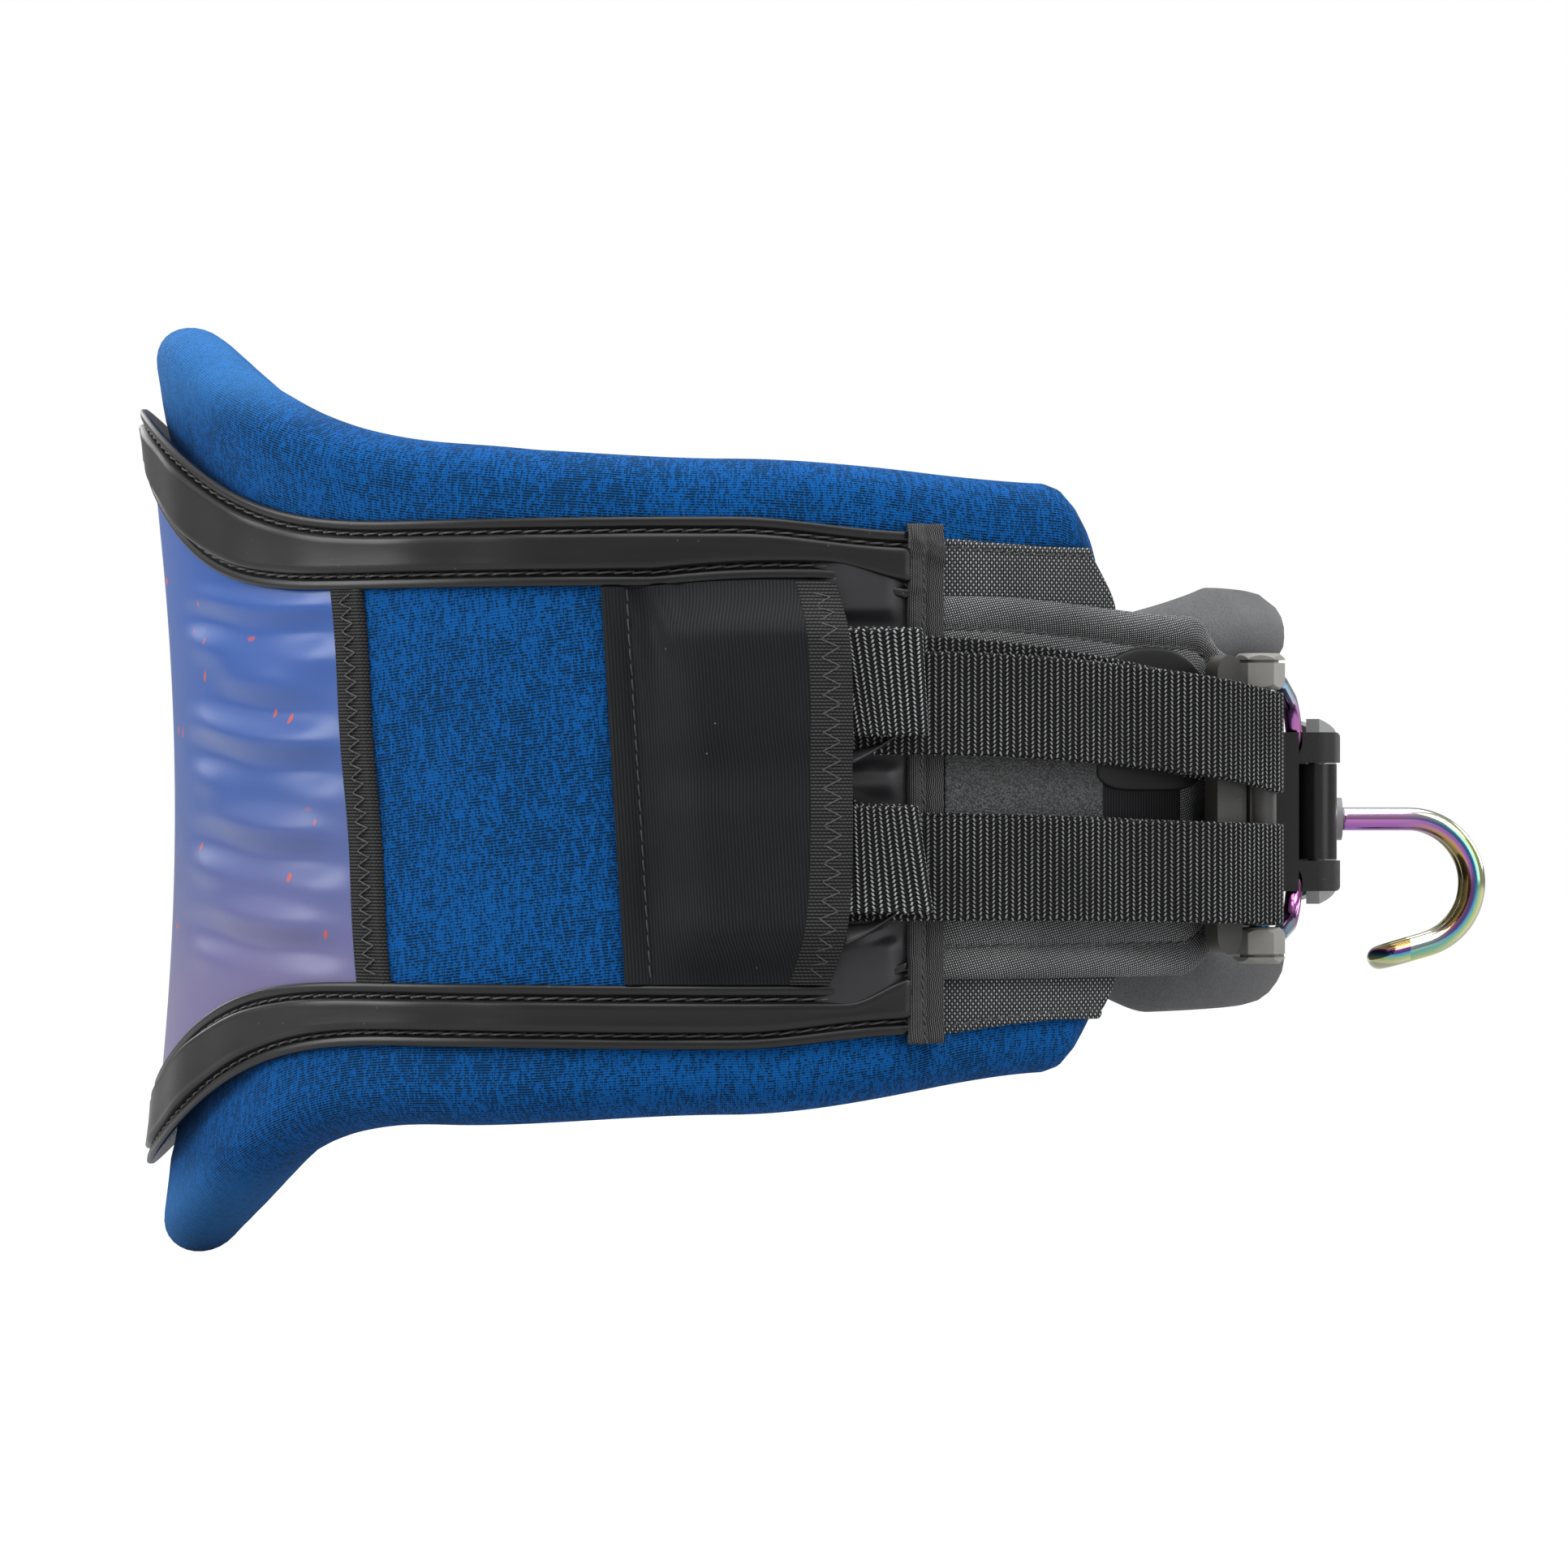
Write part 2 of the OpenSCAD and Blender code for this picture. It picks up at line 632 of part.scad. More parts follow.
// A rod runs forward from the end rod, along the front, and into the bracket's top or bottom.
function wing_points(up, rod_z) = [
    [end_rod[0], end_rod[1], rod_z],
    [end_rod[0] + 6.8, end_rod[1] + 15.2, rod_z - up * 2.6],
    [bend_out[0], bend_out[1], hinge_z + up * (bracket_h / 2 + 9.5)],
    [bend_out[0] + 1.4, bend_out[1] + 6, hinge_z + up * (bracket_h / 2 + 5)],
    [rod_end[0], rod_end[1], hinge_z + up * (bracket_h / 2 - rod_depth)]
];
upper_points = wing_points(1, upper_ferrule_z + ferrule_h / 2);
lower_points = wing_points(-1, lower_ferrule_z + ferrule_h / 2);

module wing_rods() {
    color("mediumpurple") {
        rod_run(upper_points, wing_rod_r);
        rod_run(lower_points, wing_rod_r);
        translate([end_rod[0], end_rod[1], lower_ferrule_z + 1.5])
            cylinder(r = end_rod_r, h = upper_ferrule_z - lower_ferrule_z + ferrule_h - 3);
    }
}

module rod_holes() {
    rod_run(upper_points, wing_rod_r + rod_gap);
    rod_run(lower_points, wing_rod_r + rod_gap);
}

ferrule_chamfer = 1.6;
ferrule_groove = 0.9;

module ferrule() {
    difference() {
        intersection() {
            cylinder(r = ferrule_r, h = ferrule_h, $fn = 6);
            rotate_extrude() polygon([
                [0, 0], [ferrule_r - ferrule_chamfer, 0], [ferrule_r, ferrule_chamfer],
                [ferrule_r, ferrule_h - ferrule_chamfer], [ferrule_r - ferrule_chamfer, ferrule_h],
                [0, ferrule_h]
            ]);
        }
        translate([0, 0, 1.5]) cylinder(r = end_rod_r + rod_gap, h = ferrule_h - 3);
    }
}

module ferrules() {
    color("dimgray") difference() {
        for (z = [lower_ferrule_z, upper_ferrule_z])
            translate([end_rod[0], end_rod[1], z]) difference() {
                ferrule();
                translate([0, 0, z == lower_ferrule_z ? 1.9 : ferrule_h - 2.8]) difference() {
                    cylinder(r = ferrule_r + 1, h = ferrule_groove);
                    translate([0, 0, -1]) cylinder(r = ferrule_r - 1.9, h = ferrule_groove + 2);
                }
            }
        rod_holes();
        translate([end_rod[0], end_rod[1], lower_ferrule_z + 3])
            cylinder(r = end_rod_r + rod_gap, h = upper_ferrule_z - lower_ferrule_z + ferrule_h - 6);
    }
}

bracket_corner = 1.8;                         // radius of the bracket's corners
cap_rim = 1;                                  // how far a cap stands proud of the barrel

// A flat rectangle with round corners, from the origin.
module rounded(w, h, r) {
    translate([r, 0]) square([w - 2 * r, h]);
    translate([0, r]) square([w, h - 2 * r]);
    for (x = [r, w - r], y = [r, h - r]) translate([x, y]) circle(r = r);
}

module bracket_body() {
    cap_r = barrel_r + cap_rim;
    translate([bracket_back, -hinge_y - bracket_w / 2, bracket_low])
        cube([bracket_spine, bracket_w, bracket_h]);
    for (z = [bracket_low, bracket_low + bracket_h - cap_h]) translate([hinge_x, -hinge_y, z]) {
        cylinder(r = cap_r, h = cap_h);
        translate([-cap_r, -cap_r, 0]) cube([cap_r, 2 * cap_r, cap_h]);
    }
}

module bracket() {
    color("black") difference() {
        intersection() {
            bracket_body();
            translate([bracket_back, -hinge_y + bracket_w, bracket_low]) rotate([90, 0, 0])
                linear_extrude(2 * bracket_w)
                    rounded(hinge_x + barrel_r + cap_rim - bracket_back, bracket_h, bracket_corner);
        }
        translate([hinge_x, -hinge_y, bracket_low - 1])
            cylinder(r = hinge_pin_r + weld_gap, h = bracket_h + 2);
        translate([hinge_x, -hinge_y, bracket_low + cap_h])
            cylinder(r = barrel_r + seat, h = bracket_h - 2 * cap_h);
        rod_holes();
    }
}

module hinge_pin() {
    color("silver") translate([hinge_x, -hinge_y, bracket_low + 0.6])
        cylinder(r = hinge_pin_r, h = bracket_h - 1.2);
}

module barrel() {
    color("dimgray") translate([hinge_x, -hinge_y, hinge_z - barrel_h / 2]) difference() {
        cylinder(r = barrel_r, h = barrel_h);
        translate([0, 0, -1]) cylinder(r = hinge_pin_r + running_gap, h = barrel_h + 2);
    }
}

// ---- centre plate and hook ----

bow_r = (plate_half * plate_half + plate_bow * plate_bow) / (2 * plate_bow);
neck_h = barrel_h - 2;
neck_t = 4;

module bowed(outer, inner, h) {
    translate([plate_front - bow_r, 0, -h / 2]) difference() {
        cylinder(r = bow_r + outer, h = h, $fn = 128);
        translate([0, 0, -1]) cylinder(r = bow_r + inner, h = h + 2, $fn = 128);
    }
}

module hook_plate() {
    mid = 10;
    outline = [
        [-plate_half, -plate_h / 2], [-mid, -plate_mid_h / 2], [mid, -plate_mid_h / 2],
        [plate_half, -plate_h / 2], [plate_half, plate_h / 2], [mid, plate_mid_h / 2],
        [-mid, plate_mid_h / 2], [-plate_half, plate_h / 2]
    ];
    color("gray") translate([0, 0, hinge_z]) difference() {
        union() {
            intersection() {
                bowed(plate_t / 2, -plate_t / 2, plate_h);
                translate([hinge_x - 20, 0, 0]) rotate([90, 0, 90])
                    linear_extrude(plate_bow + 30) polygon(outline);
            }
            for (side = [-1, 1])
                translate([hinge_x - neck_t / 2, side > 0 ? plate_half - 1.5 : -hinge_y + 3, -neck_h / 2])
                    cube([neck_t, hinge_y - plate_half - 1.5, neck_h]);
        }
        for (side = [-1, 1])
            translate([hinge_x, side * hinge_y, -plate_h])
                cylinder(r = barrel_r + weld_gap, h = 2 * plate_h);
    }
}

shank_start = plate_front + plate_t / 2 + weld_gap;

joint_short = 0.6;                            // how far two rods stop short of their joint's middle
joint_turn = joint_short / hook_bend_r * 180 / PI;

// Two rods side by side: shank, bend, a straight tip and a half turn that joins them.
module hook() {
    color("orchid") translate([hook_bend_x, 0, hook_z - hook_bend_r]) {
        for (side = [-1, 1]) translate([0, side * hook_half, 0]) {
            translate([shank_start - hook_bend_x, 0, hook_bend_r]) rotate([0, 90, 0])
                cylinder(r = hook_rod_r, h = hook_bend_x - shank_start);
            rotate([90, 0, 0]) rotate(90 - hook_turn + joint_turn)
                rotate_extrude(angle = hook_turn - joint_turn)
                    translate([hook_bend_r, 0]) circle(r = hook_rod_r);
        }
        rotate([0, hook_turn, 0]) translate([0, 0, hook_bend_r]) {
            for (side = [-1, 1]) translate([0, side * hook_half, 0]) {
                sphere(r = hook_rod_r * 1.03);
                translate([joint_short, 0, 0]) rotate([0, 90, 0])
                    cylinder(r = hook_rod_r, h = hook_tip - joint_short);
            }
            translate([hook_tip, 0, 0]) rotate(-90) rotate_extrude(angle = 180)
                translate([hook_half, 0]) circle(r = hook_rod_r);
        }
    }
}

boss_t = 1.2;                                 // how far the boss stands proud of the plate
boss_rim = 3;                                 // width of the boss round each rod
boss_sink = 1.5;                              // how far the boss reaches back to the bowed face

module hook_boss() {
    boss_r = hook_rod_r + boss_rim;
    boss_h = boss_t + boss_sink;
    color("gray") translate([0, 0, hook_z]) difference() {
        translate([plate_front + plate_t / 2 - boss_sink, 0, 0]) rotate([0, 90, 0]) {
            for (side = [-1, 1]) translate([0, side * hook_half, 0])
                cylinder(r = boss_r, h = boss_h);
            translate([-boss_r, -hook_half, 0]) cube([2 * boss_r, 2 * hook_half, boss_h]);
        }
        translate([plate_front - bow_r, 0, -3 * boss_r])
            cylinder(r = bow_r + plate_t / 2 + weld_gap, h = 6 * boss_r, $fn = 128);
        for (side = [-1, 1]) translate([shank_start - 1, side * hook_half, 0]) rotate([0, 90, 0])
            cylinder(r = hook_rod_r + weld_gap, h = boss_h + 1);
    }
}

// ---- nodes ----

module placed() {
    translate([-middle_x, 0, -lining_lo(0)]) children();
}

placed() lining_back();
placed() lining_side();  // lining_right
placed() left_side() lining_side();  // lining_left
placed() lumbar_shell();
placed() shell_skin();
placed() upper_trim();
placed() lower_trim();
placed() seam_ribbon();  // seam_ribbon_right
placed() left_side() seam_ribbon();  // seam_ribbon_left
placed() side_panel();  // side_panel_right
placed() left_side() side_panel();  // side_panel_left
placed() hip_panel();  // hip_panel_right
placed() left_side() hip_panel();  // hip_panel_left
placed() strap_pocket();  // strap_pocket_right
placed() left_side() strap_pocket();  // strap_pocket_left
placed() pocket_binding();  // pocket_binding_right
placed() left_side() pocket_binding();  // pocket_binding_left
placed() front_binding();  // front_binding_right
placed() left_side() front_binding();  // front_binding_left
placed() front_wing();  // front_wing_right
placed() left_side() front_wing();  // front_wing_left
placed() bar_arm();  // bar_arm_right
placed() left_side() bar_arm();  // bar_arm_left
placed() grain_panel();  // grain_panel_right
placed() left_side() grain_panel();  // grain_panel_left
placed() strap_tab();  // strap_tab_right
placed() left_side() strap_tab();  // strap_tab_left
placed() upper_strap();  // upper_strap_right
placed() left_side() upper_strap();  // upper_strap_left
placed() lower_strap();  // lower_strap_right
placed() left_side() lower_strap();  // lower_strap_left
placed() upper_loop();  // upper_loop_right
placed() left_side() upper_loop();  // upper_loop_left
placed() lower_loop();  // lower_loop_right
placed() left_side() lower_loop();  // lower_loop_left
placed() upper_tail();  // upper_tail_right
placed() left_side() upper_tail();  // upper_tail_left
placed() lower_tail();  // lower_tail_right
placed() left_side() lower_tail();  // lower_tail_left
placed() bar_pad();
placed() strap_plate();  // strap_plate_right
placed() left_side() strap_plate();  // strap_plate_left
placed() ferrules();  // ferrules_right
placed() left_side() ferrules();  // ferrules_left
placed() wing_rods();  // wing_rods_right
placed() left_side() wing_rods();  // wing_rods_left
placed() bracket();  // bracket_right
placed() left_side() bracket();  // bracket_left
placed() hinge_pin();  // hinge_pin_right
placed() left_side() hinge_pin();  // hinge_pin_left
placed() barrel();  // barrel_right
placed() left_side() barrel();  // barrel_left
placed() hook_plate();
placed() hook();
placed() hook_boss();
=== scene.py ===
"""Looks of a padded waist harness with a hinged spreader bar and a line hook.

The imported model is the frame. Soft pieces are rebuilt on the same waist ring as the CAD source,
hardware keeps its CAD shape, and every surface gets a procedural finish.
"""

import logging
import math
from collections.abc import Callable, Sequence
from dataclasses import dataclass, field
from enum import Enum

import bmesh
import bpy
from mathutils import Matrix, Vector, noise


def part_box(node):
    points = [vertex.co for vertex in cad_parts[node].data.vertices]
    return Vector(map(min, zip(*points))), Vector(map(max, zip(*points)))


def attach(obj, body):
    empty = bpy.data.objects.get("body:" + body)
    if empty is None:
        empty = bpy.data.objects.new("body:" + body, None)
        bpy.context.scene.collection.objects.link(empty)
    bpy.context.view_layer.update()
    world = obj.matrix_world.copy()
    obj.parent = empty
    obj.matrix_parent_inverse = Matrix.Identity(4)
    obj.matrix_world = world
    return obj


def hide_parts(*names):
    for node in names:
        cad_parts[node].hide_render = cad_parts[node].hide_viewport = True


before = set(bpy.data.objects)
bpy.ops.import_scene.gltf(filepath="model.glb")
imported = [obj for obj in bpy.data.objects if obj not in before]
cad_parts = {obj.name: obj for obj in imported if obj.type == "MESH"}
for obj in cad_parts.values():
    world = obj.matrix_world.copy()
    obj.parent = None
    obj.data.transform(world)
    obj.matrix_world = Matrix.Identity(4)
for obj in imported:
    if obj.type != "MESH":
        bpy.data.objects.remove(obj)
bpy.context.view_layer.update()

LOG = logging.getLogger("harness")
MM = 0.001
Colour = tuple[float, float, float]
Stops = tuple[tuple[float, Colour], ...]
Heights = Callable[[float], float]
Offsets = Callable[[float, float], float]


class Side(Enum):
    """A side of the wearer, with the sign of its y."""

    RIGHT = -1
    LEFT = 1

    @property
    def word(self) -> str:
        """The side's name as CAD nodes end with it."""
        return self.name.lower()


class Band(Enum):
    """Which of two like pieces, one above the other."""

    UPPER = "upper"
    LOWER = "lower"


# ---------------------------------------------------------------- shader maths


def wired(operation: str, swapped: bool = False) -> Callable[["Wire", "Wire | float"], "Wire"]:
    """Makes an operator on wires.

    Args:
        operation: The Math node's operation.
        swapped: Whether the wire stands on the right.

    Returns:
        The operator.
    """

    def operator(wire: "Wire", other: "Wire | float") -> "Wire":
        """Adds a Math node."""
        return wire.nodes.math(operation, *((other, wire) if swapped else (wire, other)))

    return operator


@dataclass(frozen=True)
class Wire:
    """A node's output, on which ordinary arithmetic adds Math nodes."""

    nodes: "Nodes"
    socket: bpy.types.NodeSocket

    __add__ = __radd__ = wired("ADD")
    __mul__ = __rmul__ = wired("MULTIPLY")
    __sub__ = wired("SUBTRACT")
    __rsub__ = wired("SUBTRACT", swapped=True)
    __truediv__ = wired("DIVIDE")
    __mod__ = wired("FLOORED_MODULO")
    __lt__ = wired("LESS_THAN")
    __gt__ = wired("GREATER_THAN")


class Nodes:
    """Adds nodes to a tree."""

    def __init__(self, tree: bpy.types.NodeTree) -> None:
        """Starts on a tree."""
        self.tree = tree

    def node(self, kind: str, settings: dict, inputs: dict) -> bpy.types.Node:
        """Adds a node.

        Args:
            kind: The node's type.
            settings: Its own settings; a colour ramp's "stops" are (place, colour) pairs.
            inputs: Values, wires or sockets by socket name or number.

        Returns:
            The new node.
        """
        made = self.tree.nodes.new(kind)
        for key, value in settings.items():
            if key == "stops":
                self._stops(made.color_ramp, value)
            else:
                setattr(made, key, value)
        for key, value in inputs.items():
            if isinstance(value, Wire):
                self.tree.links.new(value.socket, made.inputs[key])
            else:
                made.inputs[key].default_value = value
        return made

    def _stops(self, ramp: bpy.types.ColorRamp, stops: Stops) -> None:
        """Writes a ramp's stops.

        Args:
            ramp: The ramp.
            stops: Places and colours, in order.
        """
        while len(ramp.elements) < len(stops):
            ramp.elements.new(1.0)
        for element, (place, colour) in zip(ramp.elements, stops):
            element.position = place
            element.color = (*colour, 1.0)

    def out(self, made: bpy.types.Node, socket: str | int = 0) -> Wire:
        """One output of a node as a wire."""
        return Wire(self, made.outputs[socket])

    def math(self, operation: str, *values: "Wire | float") -> Wire:
        """A Math node on wires and numbers."""
        return self.out(self.node("ShaderNodeMath", {"operation": operation}, dict(enumerate(values))))



class Bench(Nodes):
    """Builds one material's nodes."""

    def __init__(self, name: str) -> None:
        """Starts a material.

        Args:
            name: The material's name.
        """
        self.material = bpy.data.materials.new(name)
        self.material.use_nodes = True
        super().__init__(self.material.node_tree)
        self.shader = self.tree.nodes["Principled BSDF"]

    def floor(self, value: Wire) -> Wire:
        """Whole part."""
        return self.math("FLOOR", value)

    def fract(self, value: Wire) -> Wire:
        """Part after the point."""
        return self.math("FRACT", value)

    def wave(self, value: Wire) -> Wire:
        """A cosine from 0 to 1 that repeats with each whole number."""
        return self.math("COSINE", value * (2 * math.pi)) * 0.5 + 0.5

    def step(self, value: Wire, low: float, high: float) -> Wire:
        """A smooth step from 0 at low to 1 at high.

        Args:
            value: What is compared.
            low: Where the step starts.
            high: Where it ends.

        Returns:
            The step.
        """
        made = self.node(
            "ShaderNodeMapRange",
            {"interpolation_type": "SMOOTHSTEP"},
            {"Value": value, "From Min": low, "From Max": high},
        )
        return self.out(made)

    def place(self) -> tuple[Wire, Wire, Wire, Wire]:
        """Object coordinates: the vector, x, y and z, in metres.

        Returns:
            The vector and its three numbers.
        """
        at = self.out(self.node("ShaderNodeTexCoord", {}, {}), "Object")
        split = self.node("ShaderNodeSeparateXYZ", {}, {0: at})
        return at, self.out(split, 0), self.out(split, 1), self.out(split, 2)

    def cloth(self) -> tuple[Wire, Wire]:
        """The piece's own map: metres along it and metres across it.

        Returns:
            The two lengths.
        """
        at = self.out(self.node("ShaderNodeUVMap", {"uv_map": "cut"}, {}))
        split = self.node("ShaderNodeSeparateXYZ", {}, {0: at})
        return self.out(split, 0), self.out(split, 1)

    def join(self, x: "Wire | float", y: "Wire | float", z: "Wire | float" = 0.0) -> Wire:
        """A vector from three numbers."""
        return self.out(self.node("ShaderNodeCombineXYZ", {}, {0: x, 1: y, 2: z}))

    def noise(self, at: Wire, scale: float, detail: float = 2.0, rough: float = 0.5) -> Wire:
        """Soft noise from 0 to 1."""
        inputs = {"Vector": at, "Scale": scale, "Detail": detail, "Roughness": rough}
        return self.out(self.node("ShaderNodeTexNoise", {}, inputs), "Fac")

    def chance(self, at: Wire) -> Wire:
        """A number from 0 to 1 that is new for each place."""
        made = self.node("ShaderNodeTexWhiteNoise", {"noise_dimensions": "3D"}, {"Vector": at})
        return self.out(made, "Value")

    def cells(self, at: Wire, scale: float, random: float = 1.0) -> tuple[Wire, Wire]:
        """Distance to the nearest cell's middle, and a number from 0 to 1 for that cell.

        Args:
            at: Where the pattern is read.
            scale: Cells per metre.
            random: How far the middles stray, from 0 to 1.

        Returns:
            The distance and the number.
        """
        made = self.node("ShaderNodeTexVoronoi", {}, {"Vector": at, "Scale": scale, "Randomness": random})
        split = self.node("ShaderNodeSeparateColor", {}, {0: self.out(made, "Color")})
        return self.out(made, "Distance"), self.out(split, 0)

    def mix(self, share: "Wire | float", a: "Wire | Colour", b: "Wire | Colour") -> Wire:
        """A mix of two colours.

        Args:
            share: How much of b, from 0 to 1.
            a: First colour.
            b: Second colour.

        Returns:
            The mixed colour.
        """
        a, b = ((*value, 1.0) if isinstance(value, tuple) else value for value in (a, b))
        settings = {"data_type": "RGBA", "clamp_factor": True}
        return self.out(self.node("ShaderNodeMix", settings, {0: share, 6: a, 7: b}), 2)

    def ramp(self, share: Wire, stops: Stops) -> Wire:
        """A colour from a ramp."""
        return self.out(self.node("ShaderNodeValToRGB", {"stops": stops}, {0: share}), "Color")

    def bump(self, height: Wire, distance: float, strength: float = 1.0) -> None:
        """Raises the surface by height times distance, in metres.

        Args:
            height: The relief, from 0 to 1.
            distance: How high 1 stands, in metres.
            strength: How much of it shows.
        """
        inputs = {"Height": height, "Distance": distance, "Strength": strength}
        made = self.node("ShaderNodeBump", {}, inputs)
        self.tree.links.new(made.outputs[0], self.shader.inputs["Normal"])

    def finish(self, **sockets: "Wire | float | Colour") -> bpy.types.Material:
        """Sets the shader's sockets, named with _ for a space.

        Args:
            **sockets: Values or wires.

        Returns:
            The finished material.
        """
        for key, value in sockets.items():
            socket = self.shader.inputs[key.replace("_", " ").title().replace("Ior", "IOR")]
            if isinstance(value, Wire):
                self.tree.links.new(value.socket, socket)
            else:
                socket.default_value = (*value, 1.0) if isinstance(value, tuple) else value
        return self.material


# ---------------------------------------------------------------- finishes


@dataclass(frozen=True)
class Finish:
    """A surface finish. It is made once and shared by the pieces that wear it."""

    name: str
    slot: str

    def material(self) -> bpy.types.Material:
        """The finish's material."""
        name = f"{self.name}.finish"
        return bpy.data.materials.get(name) or self.dress(Bench(name))

    def dress(self, bench: Bench) -> bpy.types.Material:
        """Builds the material's nodes.

        Args:
            bench: Where the nodes are built.

        Returns:
            The finished material.
        """
        raise NotImplementedError


@dataclass(frozen=True)
class MelangeKnit(Finish):
    """Blue knit over neoprene. Near-black yarn shows between the rows in upright streaks; the valleys between
    the rows carry painted shade, and the lip rolls above and below painted light.
    """

    wale: float = 0.00056
    course: float = 0.00073
    slope: float = 0.0
    bright: Colour = (0.006, 0.122, 0.420)
    deep: Colour = (0.003, 0.062, 0.240)
    dark: Colour = (0.003, 0.016, 0.034)
    lip_light_above: float = 0.246
    lip_light_below: float = 0.036

    def dress(self, bench: Bench) -> bpy.types.Material:
        """Builds the material's nodes.

        Args:
            bench: Where the nodes are built.

        Returns:
            The finished material.
        """
        u, v = bench.cloth()
        v = v - u * self.slope
        at, _, _, z = bench.place()
        sway = bench.noise(at, 18.0, 2.0) * 0.004
        row = bench.floor(v / self.course)
        loop = bench.wave(v / self.course)
        wale = bench.wave(u / self.wale)
        streak = bench.noise(bench.join((u + sway) * 1500.0, v * 330.0), 1.0, 2.0, 0.6)
        ladder = bench.noise(bench.join((u + sway) * 620.0, v * 90.0), 1.0, 2.0, 0.6)
        patch = bench.noise(at, 34.0, 3.0)
        lot = bench.chance(bench.join(bench.floor(u / self.wale), row))
        # Painted light: the lip rolls above and below are drawn lighter and with fewer dark flecks, where they
        # catch the light.
        lip = bench.math("MAXIMUM", bench.step(z, self.lip_light_above, self.lip_light_above + 0.02),
                         bench.step(z, self.lip_light_below, self.lip_light_below - 0.02))
        where = streak * 0.62 + ladder * 0.38 + (patch - 0.5) * 0.22 + (lot - 0.5) * 0.16 - lip * 0.03
        where = bench.step(where, 0.455, 0.53)
        rung = bench.step(loop, 0.80, 0.25)
        ground = bench.mix(bench.noise(bench.join(u * 2400.0, v * 900.0), 1.0), self.deep, self.bright)
        ground = bench.mix(wale * lot * 0.45, ground, (0.020, 0.190, 0.560))
        # Painted shade: the valleys between the rows are darkened towards the deeper blue.
        colour = bench.mix((1.0 - loop) * 0.50, ground, self.deep)
        # The near-black yarn is real, but it is drawn strongest in the row valleys, which adds painted shade
        # there.
        colour = bench.mix(where * (rung * 0.72 + 0.27), colour, self.dark)
        # Painted highlight on the lip rolls.
        colour = bench.mix(lip * 0.45, colour, (0.045, 0.190, 0.460))
        bench.bump(loop * (0.5 + wale * 0.5), 0.00022, 0.7)
        return bench.finish(
            base_color=colour, roughness=0.82, sheen_weight=0.03, sheen_roughness=0.5, specular_ior_level=0.04,
        )


@dataclass(frozen=True)
class ShellFilm(Finish):
    """Satin film that goes from blue to violet, with small scattered orange flecks."""

    low_z: float = 0.085
    high_z: float = 0.205

    def dress(self, bench: Bench) -> bpy.types.Material:
        """Builds the material's nodes.

        Args:
            bench: Where the nodes are built.

        Returns:
            The finished material.
        """
        at, _, _, z = bench.place()
        u, v = bench.cloth()
        cloud = bench.noise(at, 9.0, 3.0)
        t = (z - self.low_z) / (self.high_z - self.low_z) + (cloud - 0.5) * 0.35
        colour = bench.ramp(
            t,
            (
                (0.0, (0.150, 0.130, 0.280)),
                (0.25, (0.085, 0.108, 0.300)),
                (0.45, (0.034, 0.090, 0.320)),
                (1.0, (0.014, 0.088, 0.370)),
            ),
        )
        flecks = []
        for stretch, scale, share, size in ((2.0, 120.0, 0.93, 0.24), (0.6, 80.0, 0.945, 0.18)):
            where = bench.join((u + v * 0.35) * stretch, v * (2.0 - 0.4 * stretch), 0.0)
            distance, lot = bench.cells(where, scale)
            edge = bench.noise(at, 900.0) * 0.12
            flecks.append(bench.step(distance + edge, size + 0.08, size) * (lot > share))
        fleck = bench.math("MAXIMUM", flecks[0], flecks[1])
        colour = bench.mix(fleck * 0.85, colour, (0.60, 0.075, 0.020))
        haze = bench.noise(at, 26.0, 3.0)
        bench.bump(bench.noise(at, 60.0, 3.0) + bench.noise(at, 2400.0, 1.0) * 0.06, 0.00035, 0.5)
        return bench.finish(
            base_color=colour, roughness=0.32 + haze * 0.14, coat_weight=0.30, coat_roughness=0.30,
            specular_ior_level=0.4,
        )


@dataclass(frozen=True)
class SatinRubber(Finish):
    """Moulded rubber or rubberised cloth, satin, with faint scuffs and dust."""

    colour: Colour = (0.006, 0.006, 0.0065)
    roughness: float = 0.27
    scuff: float = 0.14
    gloss: float = 0.42

    def dress(self, bench: Bench) -> bpy.types.Material:
        """Builds the material's nodes.

        Args:
            bench: Where the nodes are built.

        Returns:
            The finished material.
        """
        at, _, _, _ = bench.place()
        u, v = bench.cloth()
        smear = bench.noise(bench.join(u * 30.0, v * 160.0), 1.0, 4.0, 0.6)
        spot, lot = bench.cells(at, 520.0)
        dust = bench.step(spot, 0.16, 0.08) * (lot > 0.965)
        colour = bench.mix(smear * 0.5, self.colour, tuple(c * 1.9 for c in self.colour))
        colour = bench.mix(dust * 0.35, colour, (0.22, 0.22, 0.22))
        bench.bump(bench.noise(at, 3200.0, 2.0) * 0.5 + smear, 0.00006, 0.5)
        return bench.finish(
            base_color=colour, roughness=self.roughness + smear * self.scuff, specular_ior_level=self.gloss,
        )


